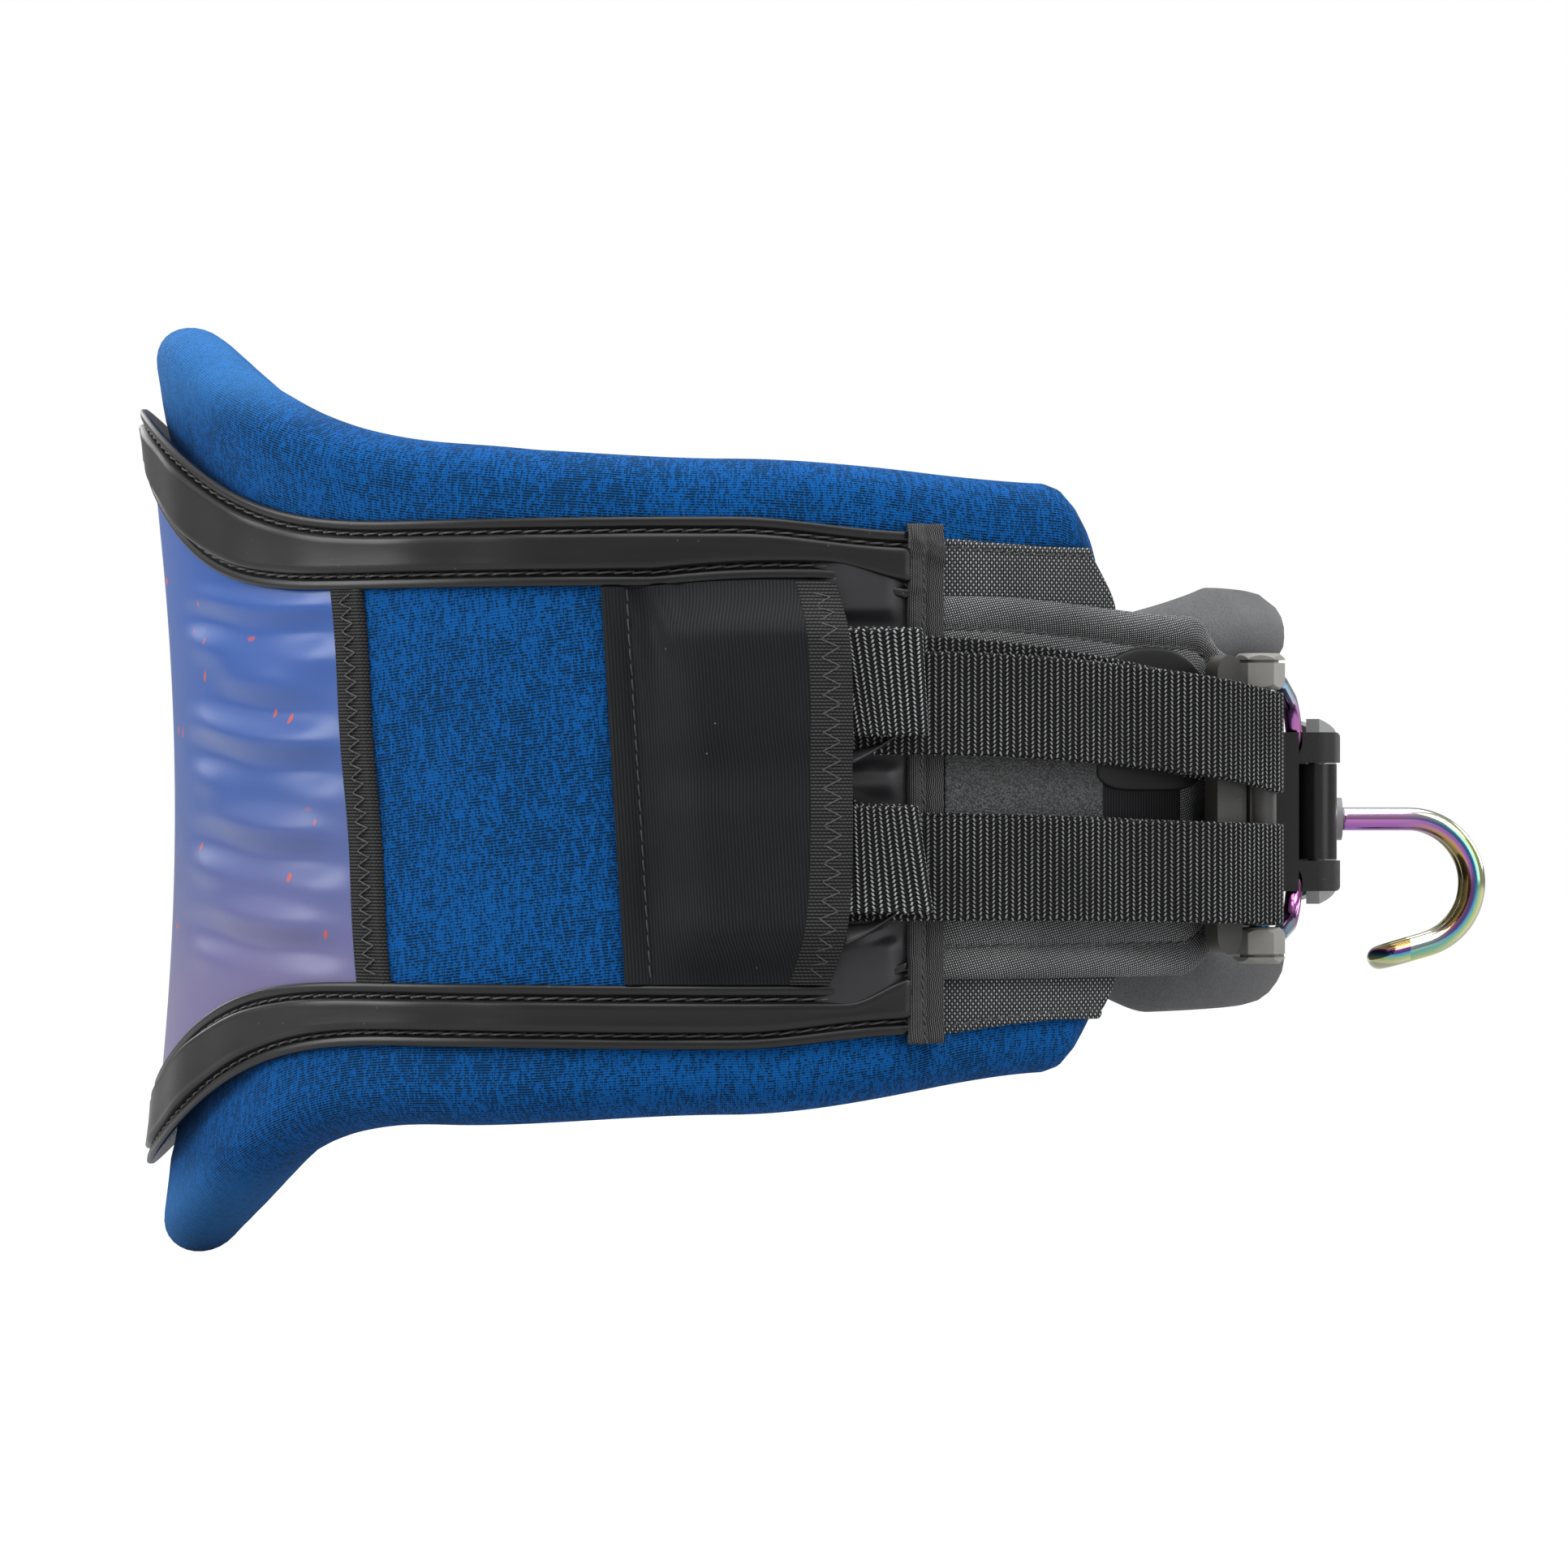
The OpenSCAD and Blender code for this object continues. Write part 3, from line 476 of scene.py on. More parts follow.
@dataclass(frozen=True)
class RibbedWebbing(Finish):
    """Polyester webbing: each rib is a cord of slanted yarns drawn bright as a painted highlight, with dark
    yarns in the valleys.
    """

    rib: float = 0.00195
    yarn: float = 0.00122
    dark: Colour = (0.0035, 0.0035, 0.004)
    light: Colour = (0.36, 0.365, 0.37)

    def dress(self, bench: Bench) -> bpy.types.Material:
        """Builds the material's nodes.

        Args:
            bench: Where the nodes are built.

        Returns:
            The finished material.
        """
        u, v = bench.cloth()
        at, _, _, _ = bench.place()
        number = bench.floor(u / self.rib + 0.5)
        across = bench.fract(u / self.rib + 0.5) - 0.5
        lean = (number % 2.0) * 2.0 - 1.0
        turn = bench.fract(v / self.yarn + number * 0.37) - 0.5
        cord = bench.step(bench.math("ABSOLUTE", across - turn * lean * 0.34), 0.21, 0.07)
        cord = cord * bench.step(bench.math("ABSOLUTE", turn), 0.49, 0.20)
        valley = bench.step(bench.math("ABSOLUTE", across), 0.28, 0.42)
        valley = valley * bench.wave(v / self.yarn - across * lean * 2.2)
        fibre = bench.noise(bench.join(u * 5200.0, v * 2600.0), 1.0, 2.0)
        # Patches in which the painted highlight on the cords is stronger or weaker.
        worn = bench.noise(at, 55.0, 3.0)
        light = cord * (0.35 + worn * 0.8) * (0.7 + fibre * 0.5) + valley * 0.03
        colour = bench.mix(light, self.dark, self.light)
        bench.bump(cord * 0.8 + valley * 0.3 + fibre * 0.1, 0.00030, 0.9)
        return bench.finish(base_color=colour, roughness=0.60, specular_ior_level=0.09)


@dataclass(frozen=True)
class StretchCloth(Finish):
    """Smooth stretch cloth with fine ribs up it."""

    rib: float = 0.00098
    colour: Colour = (0.0065, 0.0072, 0.0088)

    def dress(self, bench: Bench) -> bpy.types.Material:
        """Builds the material's nodes.

        Args:
            bench: Where the nodes are built.

        Returns:
            The finished material.
        """
        u, v = bench.cloth()
        at, _, _, _ = bench.place()
        rib = bench.wave(u / self.rib)
        soft = bench.noise(at, 34.0, 3.0)
        lint, lot = bench.cells(at, 430.0)
        mote = bench.step(lint, 0.14, 0.06) * (lot > 0.985)
        colour = bench.mix(rib * soft, self.colour, (0.030, 0.031, 0.035))
        colour = bench.mix(mote * 0.5, colour, (0.3, 0.3, 0.3))
        bench.bump(rib + bench.noise(bench.join(u * 2500.0, v * 2500.0), 1.0) * 0.3, 0.00010, 0.6)
        return bench.finish(
            base_color=colour, roughness=0.60 - rib * 0.08, sheen_weight=0.02, sheen_roughness=0.35,
            specular_ior_level=0.12,
        )


@dataclass(frozen=True)
class Weave(Finish):
    """Plain weave in which the yarns one way shine more than the others."""

    warp: float = 0.00079
    weft: float = 0.00090
    slant: float = 0.0
    dark: Colour = (0.003, 0.003, 0.0035)
    light: Colour = (0.20, 0.21, 0.22)
    depth: float = 0.00028

    def dress(self, bench: Bench) -> bpy.types.Material:
        """Builds the material's nodes.

        Args:
            bench: Where the nodes are built.

        Returns:
            The finished material.
        """
        u, v = bench.cloth()
        at, _, _, _ = bench.place()
        x = (u + v * self.slant) / self.warp
        y = (v - u * self.slant) / self.weft
        over = (bench.floor(x) + bench.floor(y)) % 2.0
        bow_x, bow_y = bench.wave(x + 0.5), bench.wave(y + 0.5)
        warp = bench.step(bow_x, 0.05, 0.75) * (0.2 + bow_y * 0.8)
        weft = bench.step(bow_y, 0.05, 0.75) * (0.2 + bow_x * 0.8)
        height = warp * over + weft * (1.0 - over) * 0.8
        sheen = bench.noise(bench.join(u * 3300.0, v * 3300.0), 1.0, 2.0)
        patch = bench.noise(at, 48.0, 3.0)
        tone = warp * over * (0.5 + sheen) + weft * (1.0 - over) * 0.16
        colour = bench.mix(tone * (0.55 + patch * 0.7), self.dark, self.light)
        bench.bump(height + sheen * 0.2, self.depth, 0.9)
        return bench.finish(base_color=colour, roughness=0.55 + sheen * 0.1, specular_ior_level=0.14)


@dataclass(frozen=True)
class Ribbon(Finish):
    """Narrow ribbon, ribbed across its length."""

    rib: float = 0.00085
    across_u: bool = False
    dark: Colour = (0.004, 0.004, 0.0045)
    light: Colour = (0.070, 0.070, 0.071)

    def dress(self, bench: Bench) -> bpy.types.Material:
        """Builds the material's nodes.

        Args:
            bench: Where the nodes are built.

        Returns:
            The finished material.
        """
        u, v = bench.cloth()
        along, side = (u, v) if self.across_u else (v, u)
        rib = bench.wave(along / self.rib)
        cord = bench.wave(side / (self.rib * 1.25) + bench.floor(along / self.rib + 0.5) * 0.5)
        fibre = bench.noise(bench.join(u * 4200.0, v * 4200.0), 1.0, 2.0)
        height = rib * (0.55 + cord * 0.45)
        colour = bench.mix(height * (0.6 + fibre * 0.6), self.dark, self.light)
        bench.bump(height, 0.00022, 0.8)
        return bench.finish(base_color=colour, roughness=0.72, specular_ior_level=0.1)


@dataclass(frozen=True)
class GrainRubber(Finish):
    """Rubber with a fine leather grain."""

    grain: float = 1700.0

    def dress(self, bench: Bench) -> bpy.types.Material:
        """Builds the material's nodes.

        Args:
            bench: Where the nodes are built.

        Returns:
            The finished material.
        """
        at, _, _, _ = bench.place()
        near, lot = bench.cells(at, self.grain)
        fine = bench.noise(at, 2600.0, 2.0)
        pebble = 1.0 - bench.step(near, 0.1, 0.75)
        colour = bench.mix(pebble * 0.65 + lot * 0.35, (0.010, 0.010, 0.011), (0.125, 0.128, 0.132))
        bench.bump(pebble + fine * 0.3, 0.00022, 0.8)
        return bench.finish(base_color=colour, roughness=0.46 + fine * 0.1, specular_ior_level=0.3)


@dataclass(frozen=True)
class MouldedFoam(Finish):
    """Closed-cell foam with a fine open skin."""

    colour: Colour = (0.060, 0.061, 0.064)

    def dress(self, bench: Bench) -> bpy.types.Material:
        """Builds the material's nodes.

        Args:
            bench: Where the nodes are built.

        Returns:
            The finished material.
        """
        at, _, _, _ = bench.place()
        fine = bench.noise(at, 2300.0, 3.0, 0.7)
        cell, lot = bench.cells(at, 1500.0)
        cloud = bench.noise(at, 30.0, 3.0)
        tone = bench.step(fine, 0.35, 0.7) * 0.6 + lot * 0.25 + (cloud - 0.5) * 0.5
        colour = bench.mix(tone, tuple(c * 0.62 for c in self.colour), tuple(c * 1.9 for c in self.colour))
        bench.bump(fine + cell * 0.5, 0.00022, 0.75)
        return bench.finish(base_color=colour, roughness=0.56 + fine * 0.14, specular_ior_level=0.4)


@dataclass(frozen=True)
class MouldedPlastic(Finish):
    """Injection-moulded plastic with a fine spark-eroded texture and faint scuffs."""

    colour: Colour = (0.034, 0.033, 0.030)
    roughness: float = 0.40
    texture: float = 1.0
    gloss: float = 0.5

    def dress(self, bench: Bench) -> bpy.types.Material:
        """Builds the material's nodes.

        Args:
            bench: Where the nodes are built.

        Returns:
            The finished material.
        """
        at, _, _, _ = bench.place()
        spark = bench.noise(at, 3600.0, 2.0, 0.65)
        flow = bench.noise(at, 38.0, 3.0)
        nick, lot = bench.cells(at, 300.0)
        scratch = bench.step(nick, 0.12, 0.05) * (lot > 0.93)
        colour = bench.mix(flow, tuple(c * 0.82 for c in self.colour), tuple(c * 1.2 for c in self.colour))
        colour = bench.mix(scratch * 0.4, colour, tuple(min(1.0, c * 4 + 0.05) for c in self.colour))
        bench.bump(spark, 0.00010 * self.texture, 0.7)
        return bench.finish(
            base_color=colour, roughness=self.roughness + (spark - 0.5) * 0.16, specular_ior_level=self.gloss,
        )


@dataclass(frozen=True)
class TintedSteel(Finish):
    """Polished stainless steel with heat-tint colours in bands along and round the rod. The bands round the rod
    follow the surface's facing, so the pale outer and upper side is a painted highlight and the dark inner and
    lower side painted shade.
    """

    bend_x: float = 0.18348
    bend_z: float = 0.1133
    bend_r: float = 0.0197
    shank: float = 0.034
    rod: Stops = (
        (0.00, (0.30, 0.16, 0.48)), (0.35, (0.42, 0.16, 0.46)), (0.62, (0.60, 0.30, 0.56)),
        (1.00, (0.62, 0.62, 0.74)),
    )
    arc: Stops = (
        (0.00, (0.10, 0.08, 0.03)), (0.14, (0.24, 0.20, 0.06)), (0.26, (0.66, 0.40, 0.14)),
        (0.38, (0.36, 0.11, 0.42)), (0.50, (0.13, 0.19, 0.52)), (0.62, (0.11, 0.44, 0.50)),
        (0.76, (0.46, 0.56, 0.20)), (0.90, (0.70, 0.70, 0.44)), (1.00, (0.45, 0.46, 0.32)),
    )
    nose: Stops = (
        (0.00, (0.62, 0.60, 0.22)), (0.35, (0.14, 0.42, 0.36)), (0.60, (0.50, 0.58, 0.58)),
        (1.00, (0.80, 0.78, 0.62)),
    )
    wing: Stops = (
        (0.00, (0.70, 0.50, 0.18)), (0.30, (0.56, 0.18, 0.36)), (0.55, (0.40, 0.16, 0.52)),
        (0.80, (0.12, 0.36, 0.60)),
    )

    def dress(self, bench: Bench) -> bpy.types.Material:
        """Builds the material's nodes.

        Args:
            bench: Where the nodes are built.

        Returns:
            The finished material.
        """
        at, x, y, z = bench.place()
        normal = bench.node("ShaderNodeNewGeometry", {}, {})
        face = bench.node("ShaderNodeSeparateXYZ", {}, {0: bench.out(normal, "Normal")})
        nx, _, nz = (bench.out(face, i) for i in range(3))
        turn = bench.math("ARCTAN2", x - self.bend_x, z - self.bend_z)
        bend = bench.step(x, self.bend_x - 0.006, self.bend_x + 0.014)
        bend = bench.math("MAXIMUM", bend, z < self.bend_z)
        tip = bench.step(turn, 2.3, 2.9) * (z < self.bend_z)
        outward = (nx * (x - self.bend_x) + nz * (z - self.bend_z)) / self.bend_r
        sway = (bench.noise(at, 60.0, 2.0) - 0.5) * 0.5
        # Round the rod the tint goes from its dark inner and lower side to its pale outer and upper side: real
        # tint colours, placed as painted shade and painted highlight.
        across = outward * 0.5 + 0.5
        colour = bench.mix(
            bend, bench.ramp(across + sway * 0.25, self.rod), bench.ramp(across + sway * 0.12, self.arc)
        )
        # On the tip the upward-facing side is paler: a painted highlight.
        colour = bench.mix(tip, colour, bench.ramp(nz * 0.5 + 0.5 + sway * 0.3, self.nose))
        wing = bench.ramp(bench.math("ABSOLUTE", y) * 16.0 + sway * 0.5 - 0.45, self.wing)
        colour = bench.mix(x < self.bend_x - self.shank, colour, wing)
        polish = bench.noise(at, 800.0, 2.0)
        return bench.finish(base_color=colour, metallic=1.0, roughness=0.10 + polish * 0.05)


@dataclass(frozen=True)
class TurnedSteel(Finish):
    """Plain turned steel, with fine rings."""

    def dress(self, bench: Bench) -> bpy.types.Material:
        """Builds the material's nodes.

        Args:
            bench: Where the nodes are built.

        Returns:
            The finished material.
        """
        at, _, _, z = bench.place()
        ring = bench.wave(z * 4200.0)
        smear = bench.noise(at, 300.0, 3.0)
        colour = bench.mix(smear, (0.42, 0.42, 0.43), (0.62, 0.61, 0.60))
        bench.bump(ring, 0.00003, 0.5)
        return bench.finish(base_color=colour, metallic=1.0, roughness=0.26 + smear * 0.12)


@dataclass(frozen=True)
class Thread(Finish):
    """Twisted bonded sewing thread."""

    colour: Colour = (0.020, 0.020, 0.021)
    sheen: Colour = (0.105, 0.105, 0.105)

    def dress(self, bench: Bench) -> bpy.types.Material:
        """Builds the material's nodes.

        Args:
            bench: Where the nodes are built.

        Returns:
            The finished material.
        """
        _, x, y, z = bench.place()
        ply = bench.wave((x + y + z) * 2100.0)
        colour = bench.mix(ply * 0.7, self.colour, self.sheen)
        bench.bump(ply, 0.00008, 0.6)
        return bench.finish(base_color=colour, roughness=0.48, specular_ior_level=0.5)


KNIT = MelangeKnit("blue_melange_knit", "lining_neoprene")
PANEL_KNIT = MelangeKnit("panel_melange_knit", "panel_neoprene", course=0.00082, slope=0.12)
FILM = ShellFilm("shell_film", "shell_film")
COMPOSITE = MouldedPlastic("shell_composite", "shell_composite", colour=(0.03, 0.03, 0.032))
TRIM_RUBBER = SatinRubber("trim_rubber", "trim_rubber")
HIP_RUBBER = SatinRubber("hip_rubber", "hip_rubber", colour=(0.020, 0.020, 0.022), roughness=0.34)
TAB_RUBBER = SatinRubber("tab_rubber", "hip_rubber", colour=(0.006, 0.006, 0.0065), roughness=0.40, gloss=0.25)
ELASTIC = Ribbon("elastic_ribbon", "elastic_ribbon", rib=0.00095, light=(0.085, 0.085, 0.086))
GROSGRAIN = Ribbon(
    "grosgrain_ribbon", "grosgrain_ribbon", rib=0.00064, across_u=True, light=(0.165, 0.165, 0.168)
)
POCKET_CLOTH = StretchCloth("stretch_cloth", "stretch_cloth")
BALLISTIC = Weave("ballistic_weave", "ballistic_cloth", light=(0.56, 0.575, 0.59))
TWILL = Weave(
    "bias_weave", "fine_cloth", warp=0.00062, weft=0.00056, slant=0.55, light=(0.74, 0.75, 0.765), depth=0.0002
)
GRAIN = GrainRubber("grain_rubber", "grain_rubber")
WEBBING = RibbedWebbing("ribbed_webbing", "webbing")
# A lighter copy of the webbing for the tails: painted light, as the tails stand proud and catch more light than
# the straps.
LIT_TAIL_WEBBING = RibbedWebbing("lit_tail_webbing", "webbing", light=(0.54, 0.55, 0.56))
FOAM = MouldedFoam("pad_foam", "pad_foam")
GREY_PLASTIC = MouldedPlastic("grey_plastic", "grey_plastic")
FERRULE_PLASTIC = MouldedPlastic("ferrule_plastic", "grey_plastic", colour=(0.220, 0.217, 0.200))
CENTRE_PLASTIC = MouldedPlastic("centre_plastic", "grey_plastic", colour=(0.230, 0.232, 0.235), roughness=0.34)
# Near-black cloth whose only job is painted shadow in the gap in front of the grained panel.
PAINTED_SHADOW = StretchCloth("painted_shadow_cloth", "fine_cloth", colour=(0.0015, 0.0015, 0.0018))
BLACK_PLASTIC = MouldedPlastic(
    "black_plastic", "black_plastic", colour=(0.011, 0.011, 0.0115), roughness=0.36, texture=1.6, gloss=0.42
)
BARREL_PLASTIC = MouldedPlastic(
    "barrel_plastic", "barrel_plastic", colour=(0.007, 0.007, 0.0075), roughness=0.20, texture=0.4, gloss=0.5
)
TINTED = TintedSteel("tinted_steel", "tinted_steel")
PIN_STEEL = TurnedSteel("turned_steel", "plain_steel")
THREAD = Thread("black_thread", "trim_rubber", colour=(0.028, 0.028, 0.029), sheen=(0.16, 0.16, 0.16))
RIBBON_THREAD = Thread(
    "ribbon_thread", "elastic_ribbon", colour=(0.028, 0.028, 0.029), sheen=(0.13, 0.13, 0.13)
)
CLOTH_THREAD = Thread("cloth_thread", "fine_cloth")


# ---------------------------------------------------------------- the waist ring


def ease(value: float, low: float, high: float) -> float:
    """A smooth step from 0 at low to 1 at high."""
    t = max(0.0, min(1.0, (value - low) / (high - low)))
    return t * t * (3 - 2 * t)


def hill(angle: float, width: float, power: float) -> float:
    """A hill of height 1 at 0 that falls to 0 at the given width."""
    return math.cos(math.radians(angle * 90 / width)) ** power if abs(angle) < width else 0.0


def spread(first: float, last: float, step: float) -> list[float]:
    """Evenly spaced values from first to last, about a step apart."""
    count = max(1, math.ceil(abs(last - first) / step))
    return [first + (last - first) * i / count for i in range(count + 1)]


def axis_offset() -> float:
    """How far the waist axis lies behind the middle of the box, read off a hinge pin."""
    low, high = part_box("hinge_pin_right")
    return 175.5 - (low.x + high.x) / 2 / MM


@dataclass(frozen=True)
class Waist:
    """The waist wall that carries every soft piece, in millimetres and degrees."""

    waist_half: float = 165.0
    back_depth: float = 172.0
    front_depth: float = 188.0
    middle_z: float = 135.0
    back_arch: float = 5.5
    seat: float = 0.3
    film: float = 2.8
    lining_t: float = 20.0
    lining_end: float = 126.0
    end_rod_angle: float = 141.8
    end_rod_d: float = 7.4
    middle_x: float = field(default_factory=axis_offset)

    @property
    def strap_z(self) -> dict[str, tuple[float, float]]:
        """Middle heights of each band's straps at the hip and at the bar."""
        return {"upper": (166.5, 155.8), "lower": (119.7, 117.5)}

    @property
    def strap_run(self) -> tuple[float, float]:
        """The angles between which a strap changes its height."""
        return 105.5, self.end_rod_angle

    @property
    def lining_out(self) -> float:
        """Offset of the lining's outer face."""
        return -2 * (self.film + self.seat)

    @property
    def lining_in(self) -> float:
        """Offset of the lining's inner face."""
        return self.lining_out - self.lining_t

    def depth(self, angle: float) -> float:
        """Depth of the half of the ring in which an angle lies."""
        return self.back_depth if abs(angle) < 90 else self.front_depth

    def lean(self, angle: float, z: float) -> float:
        """How far the back wall leans out at a height."""
        return self.back_arch * ((z - self.middle_z) / 100) ** 2 * hill(angle, 70, 2)

    def point(self, angle: float, d: float, z: float) -> Vector:
        """A point of the wall.

        Args:
            angle: Degrees from the middle of the back, positive to the wearer's left.
            d: Offset outward from the wall's outer face.
            z: Height.

        Returns:
            The point in the row frame, in millimetres.
        """
        e = d + self.lean(angle, z)
        turn = math.radians(angle)
        x = -(self.depth(angle) + e) * math.cos(turn)
        return Vector((x - self.middle_x, (self.waist_half + e) * math.sin(turn), z))

    def spot(self, angle: float, d: float, z: float) -> tuple[Vector, Vector]:
        """A point of the wall and its outward direction."""
        return self.point(angle, d, z), self.outward(angle)

    def outward(self, angle: float) -> Vector:
        """The wall's outward direction at an angle."""
        turn = math.radians(angle)
        return Vector((-math.cos(turn) * self.waist_half, math.sin(turn) * self.depth(angle), 0)).normalized()

    def lining_hi(self, angle: float) -> float:
        """Height of the lining's top edge.

        Args:
            angle: Degrees from the middle of the back.

        Returns:
            The height.
        """
        a = abs(angle)
        return (
            236 + 4 * (1 - ease(a, 60, 90)) - 6 * ease(a, 90, 122)
            + 44 * hill(a, 65, 2.4) + 2 * hill(a - 48, 22, 1)
            - 15 * ease(a, self.lining_end - 5, self.lining_end + 1)
        )

    def lining_lo(self, angle: float) -> float:
        """Height of the lining's bottom edge.

        Args:
            angle: Degrees from the middle of the back.

        Returns:
            The height.
        """
        a = abs(angle)
        return (
            50 - 4 * (1 - ease(a, 60, 90)) + 11 * ease(a, 90, 122) - 46 * hill(a, 60, 2.4)
            + 14 * ease(a, self.lining_end - 5, self.lining_end + 1)
        )

    def upper_hi(self, angle: float) -> float:
        """Height of the upper trim's top edge."""
        return 219 + 40 * hill(angle, 60, 3) - 4 * ease(abs(angle), 90, 106)

    def upper_lo(self, angle: float) -> float:
        """Height of the upper trim's bottom edge."""
        a = abs(angle)
        return 199.5 + 38 * hill(a, 60, 5) + 2 * hill(a - 95, 12, 1) - 4 * ease(a, 98, 106)

    def lower_hi(self, angle: float) -> float:
        """Height of the lower trim's top edge."""
        return 87 - 35 * hill(angle, 60, 4) + 7 * ease(abs(angle), 100, 106)

    def lower_lo(self, angle: float) -> float:
        """Height of the lower trim's bottom edge."""
        return 69 - 42 * hill(angle, 60, 3) + 4 * ease(abs(angle), 90, 106)

    def seam(self, z: float) -> float:
        """Angle of the seam between shell and side panel at a height."""
        return 50.3 + 3.3 * (200 - z) / 110

    def pocket_rear(self, z: float) -> float:
        """Angle of the strap pocket's rear seam at a height."""
        return 78.05 + 2.15 * (195 - z) / 105

    def pocket_mouth(self, z: float) -> float:
        """Angle of the middle of the strap pocket's bound mouth at a height."""
        return 98.35 - 0.9 * ((z - 147) / 52) ** 4

    def lift(self, angle: float) -> float:
        """How far the binding, and then the tab, lift a strap off the wall."""
        return 1.315 * ease(angle, 98, 104.5) + 0.515 * ease(angle, 112, 120)


WAIST = Waist()


# ---------------------------------------------------------------- mesh making


@dataclass
class Cut:
    """A mesh in the making: rings or grids of points with their place on the cloth."""

    points: list[Vector] = field(default_factory=list)
    faces: list[tuple[int, ...]] = field(default_factory=list)
    corners: list[tuple[tuple[float, float], ...]] = field(default_factory=list)

    def loft(self, rings: Sequence[Sequence[Vector]], crests: tuple[int, int, int] | None = None) -> "Cut":
        """Adds a closed skin through rings of points.

        Args:
            rings: Rings with the same number of points each, in millimetres.
            crests: Where the cloth's rows start: a point number for the first part of each ring, the
                number where the second part begins and a point number for that part.

        Returns:
            This cut.
        """
        base, count = len(self.points), len(rings[0])
        u = [0.0]
        for near, far in zip(rings, rings[1:]):
            mid = sum(((b - a).length for a, b in zip(near, far)), 0.0) / count
            u.append(u[-1] + mid)
        measured = rings if crests else [rings[len(rings) // 2]] * len(rings)
        v = [self._round(ring, crests) for ring in measured]
        for ring in rings:
            self.points.extend(ring)
        for r in range(len(rings) - 1):
            near, far = v[r], v[r + 1]
            for i in range(count):
                j = (i + 1) % count
                a, b = base + r * count, base + (r + 1) * count
                self.faces.append((a + i, b + i, b + j, a + j))
                self.corners.append((
                    (u[r], near[i]), (u[r + 1], far[i]), (u[r + 1], far[i + 1]), (u[r], near[i + 1]),
                ))
        for start, where, round_v in ((base, u[0], v[0]), (base + (len(rings) - 1) * count, u[-1], v[-1])):
            self.points.append(sum((self.points[start + i] for i in range(count)), Vector()) / count)
            hub = len(self.points) - 1
            for i in range(count):
                self.faces.append((start + i, start + (i + 1) % count, hub))
                self.corners.append(((where, round_v[i]), (where, round_v[i + 1]), (where, round_v[i])))
        return self

    @staticmethod
    def _round(ring: Sequence[Vector], crests: tuple[int, int, int] | None) -> list[float]:
        """Lengths round a ring, counted from its first point or from its crests.

        Args:
            ring: The ring's points.
            crests: As loft takes them.

        Returns:
            One length for each point, and the whole length.
        """
        v = [0.0]
        for i in range(len(ring)):
            v.append(v[-1] + (ring[(i + 1) % len(ring)] - ring[i]).length)
        if crests is None:
            return v
        first, split, second = crests
        return [w - v[first] if i < split else w - v[second] for i, w in enumerate(v)]

    def slab(self, outer: Sequence[Sequence[Vector]], inner: Sequence[Sequence[Vector]]) -> "Cut":
        """Adds a closed patch from an outer and an inner grid of the same size.

        Args:
            outer: Rows of points of the outer face.
            inner: Rows of points of the inner face.

        Returns:
            This cut.
        """
        base, rows, across = len(self.points), len(outer), len(outer[0])
        area = rows * across
        for grid in (outer, inner):
            for row in grid:
                self.points.extend(row)
        u = [[0.0] * across for _ in range(rows)]
        v = [[0.0] * across for _ in range(rows)]
        start = outer[0][0]
        for r in range(rows):
            for c in range(across):
                if r:
                    u[r][c] = u[r - 1][c] + (outer[r][c] - outer[r - 1][c]).length
                v[r][c] = outer[r][c].z - start.z
        for r in range(rows - 1):
            for c in range(across - 1):
                quad = [(r, c), (r + 1, c), (r + 1, c + 1), (r, c + 1)]
                place = tuple((u[i][j], v[i][j]) for i, j in quad)
                self.faces.append(tuple(base + i * across + j for i, j in quad))
                self.corners.append(place)
                self.faces.append(tuple(base + area + i * across + j for i, j in reversed(quad)))
                self.corners.append(place[::-1])
        rim = [(0, c) for c in range(across)] + [(r, across - 1) for r in range(1, rows)]
        rim += [(rows - 1, c) for c in range(across - 2, -1, -1)] + [(r, 0) for r in range(rows - 2, 0, -1)]
        for (i, j), (k, m) in zip(rim, rim[1:] + rim[:1]):
            a, b = base + i * across + j, base + k * across + m
            self.faces.append((a, b, b + area, a + area))
            here, there = (u[i][j], v[i][j]), (u[k][m], v[k][m])
            self.corners.append((here, there, there, here))
        return self

    def build(self, name: str, finish: Finish) -> bpy.types.Object:
        """Makes the object, in metres, with its cloth map, and dresses it.

        Args:
            name: The piece's name.
            finish: What it wears.

        Returns:
            The new object.
        """
        mesh = bpy.data.meshes.new(name)
        mesh.from_pydata([p * MM for p in self.points], [], self.faces)
        layer = mesh.uv_layers.new(name="cut")
        flat = [n * MM for corner in self.corners for uv in corner for n in uv]
        layer.data.foreach_set("uv", flat)
        work = bmesh.new()
        work.from_mesh(mesh)
        bmesh.ops.recalc_face_normals(work, faces=work.faces)
        work.to_mesh(mesh)
        work.free()
        mesh.shade_smooth()
        mesh.materials.append(finish.material())
        piece = bpy.data.objects.new(name, mesh)
        bpy.context.scene.collection.objects.link(piece)
        return piece

    def wear(
        self, name: str, finish: Finish, *nodes: str, body: str = "harness", fill: float | None = None,
    ) -> bpy.types.Object:
        """Makes the object and seats it.

        Args:
            name: The piece's name.
            finish: What it wears.
            *nodes: The CAD nodes that it stands for.
            body: The body it rides on.
            fill: How full a padded piece is; not used.

        Returns:
            The seated piece.
        """
        piece = self.build(name, finish)
        return seat_piece(piece, finish, *nodes, body=body)


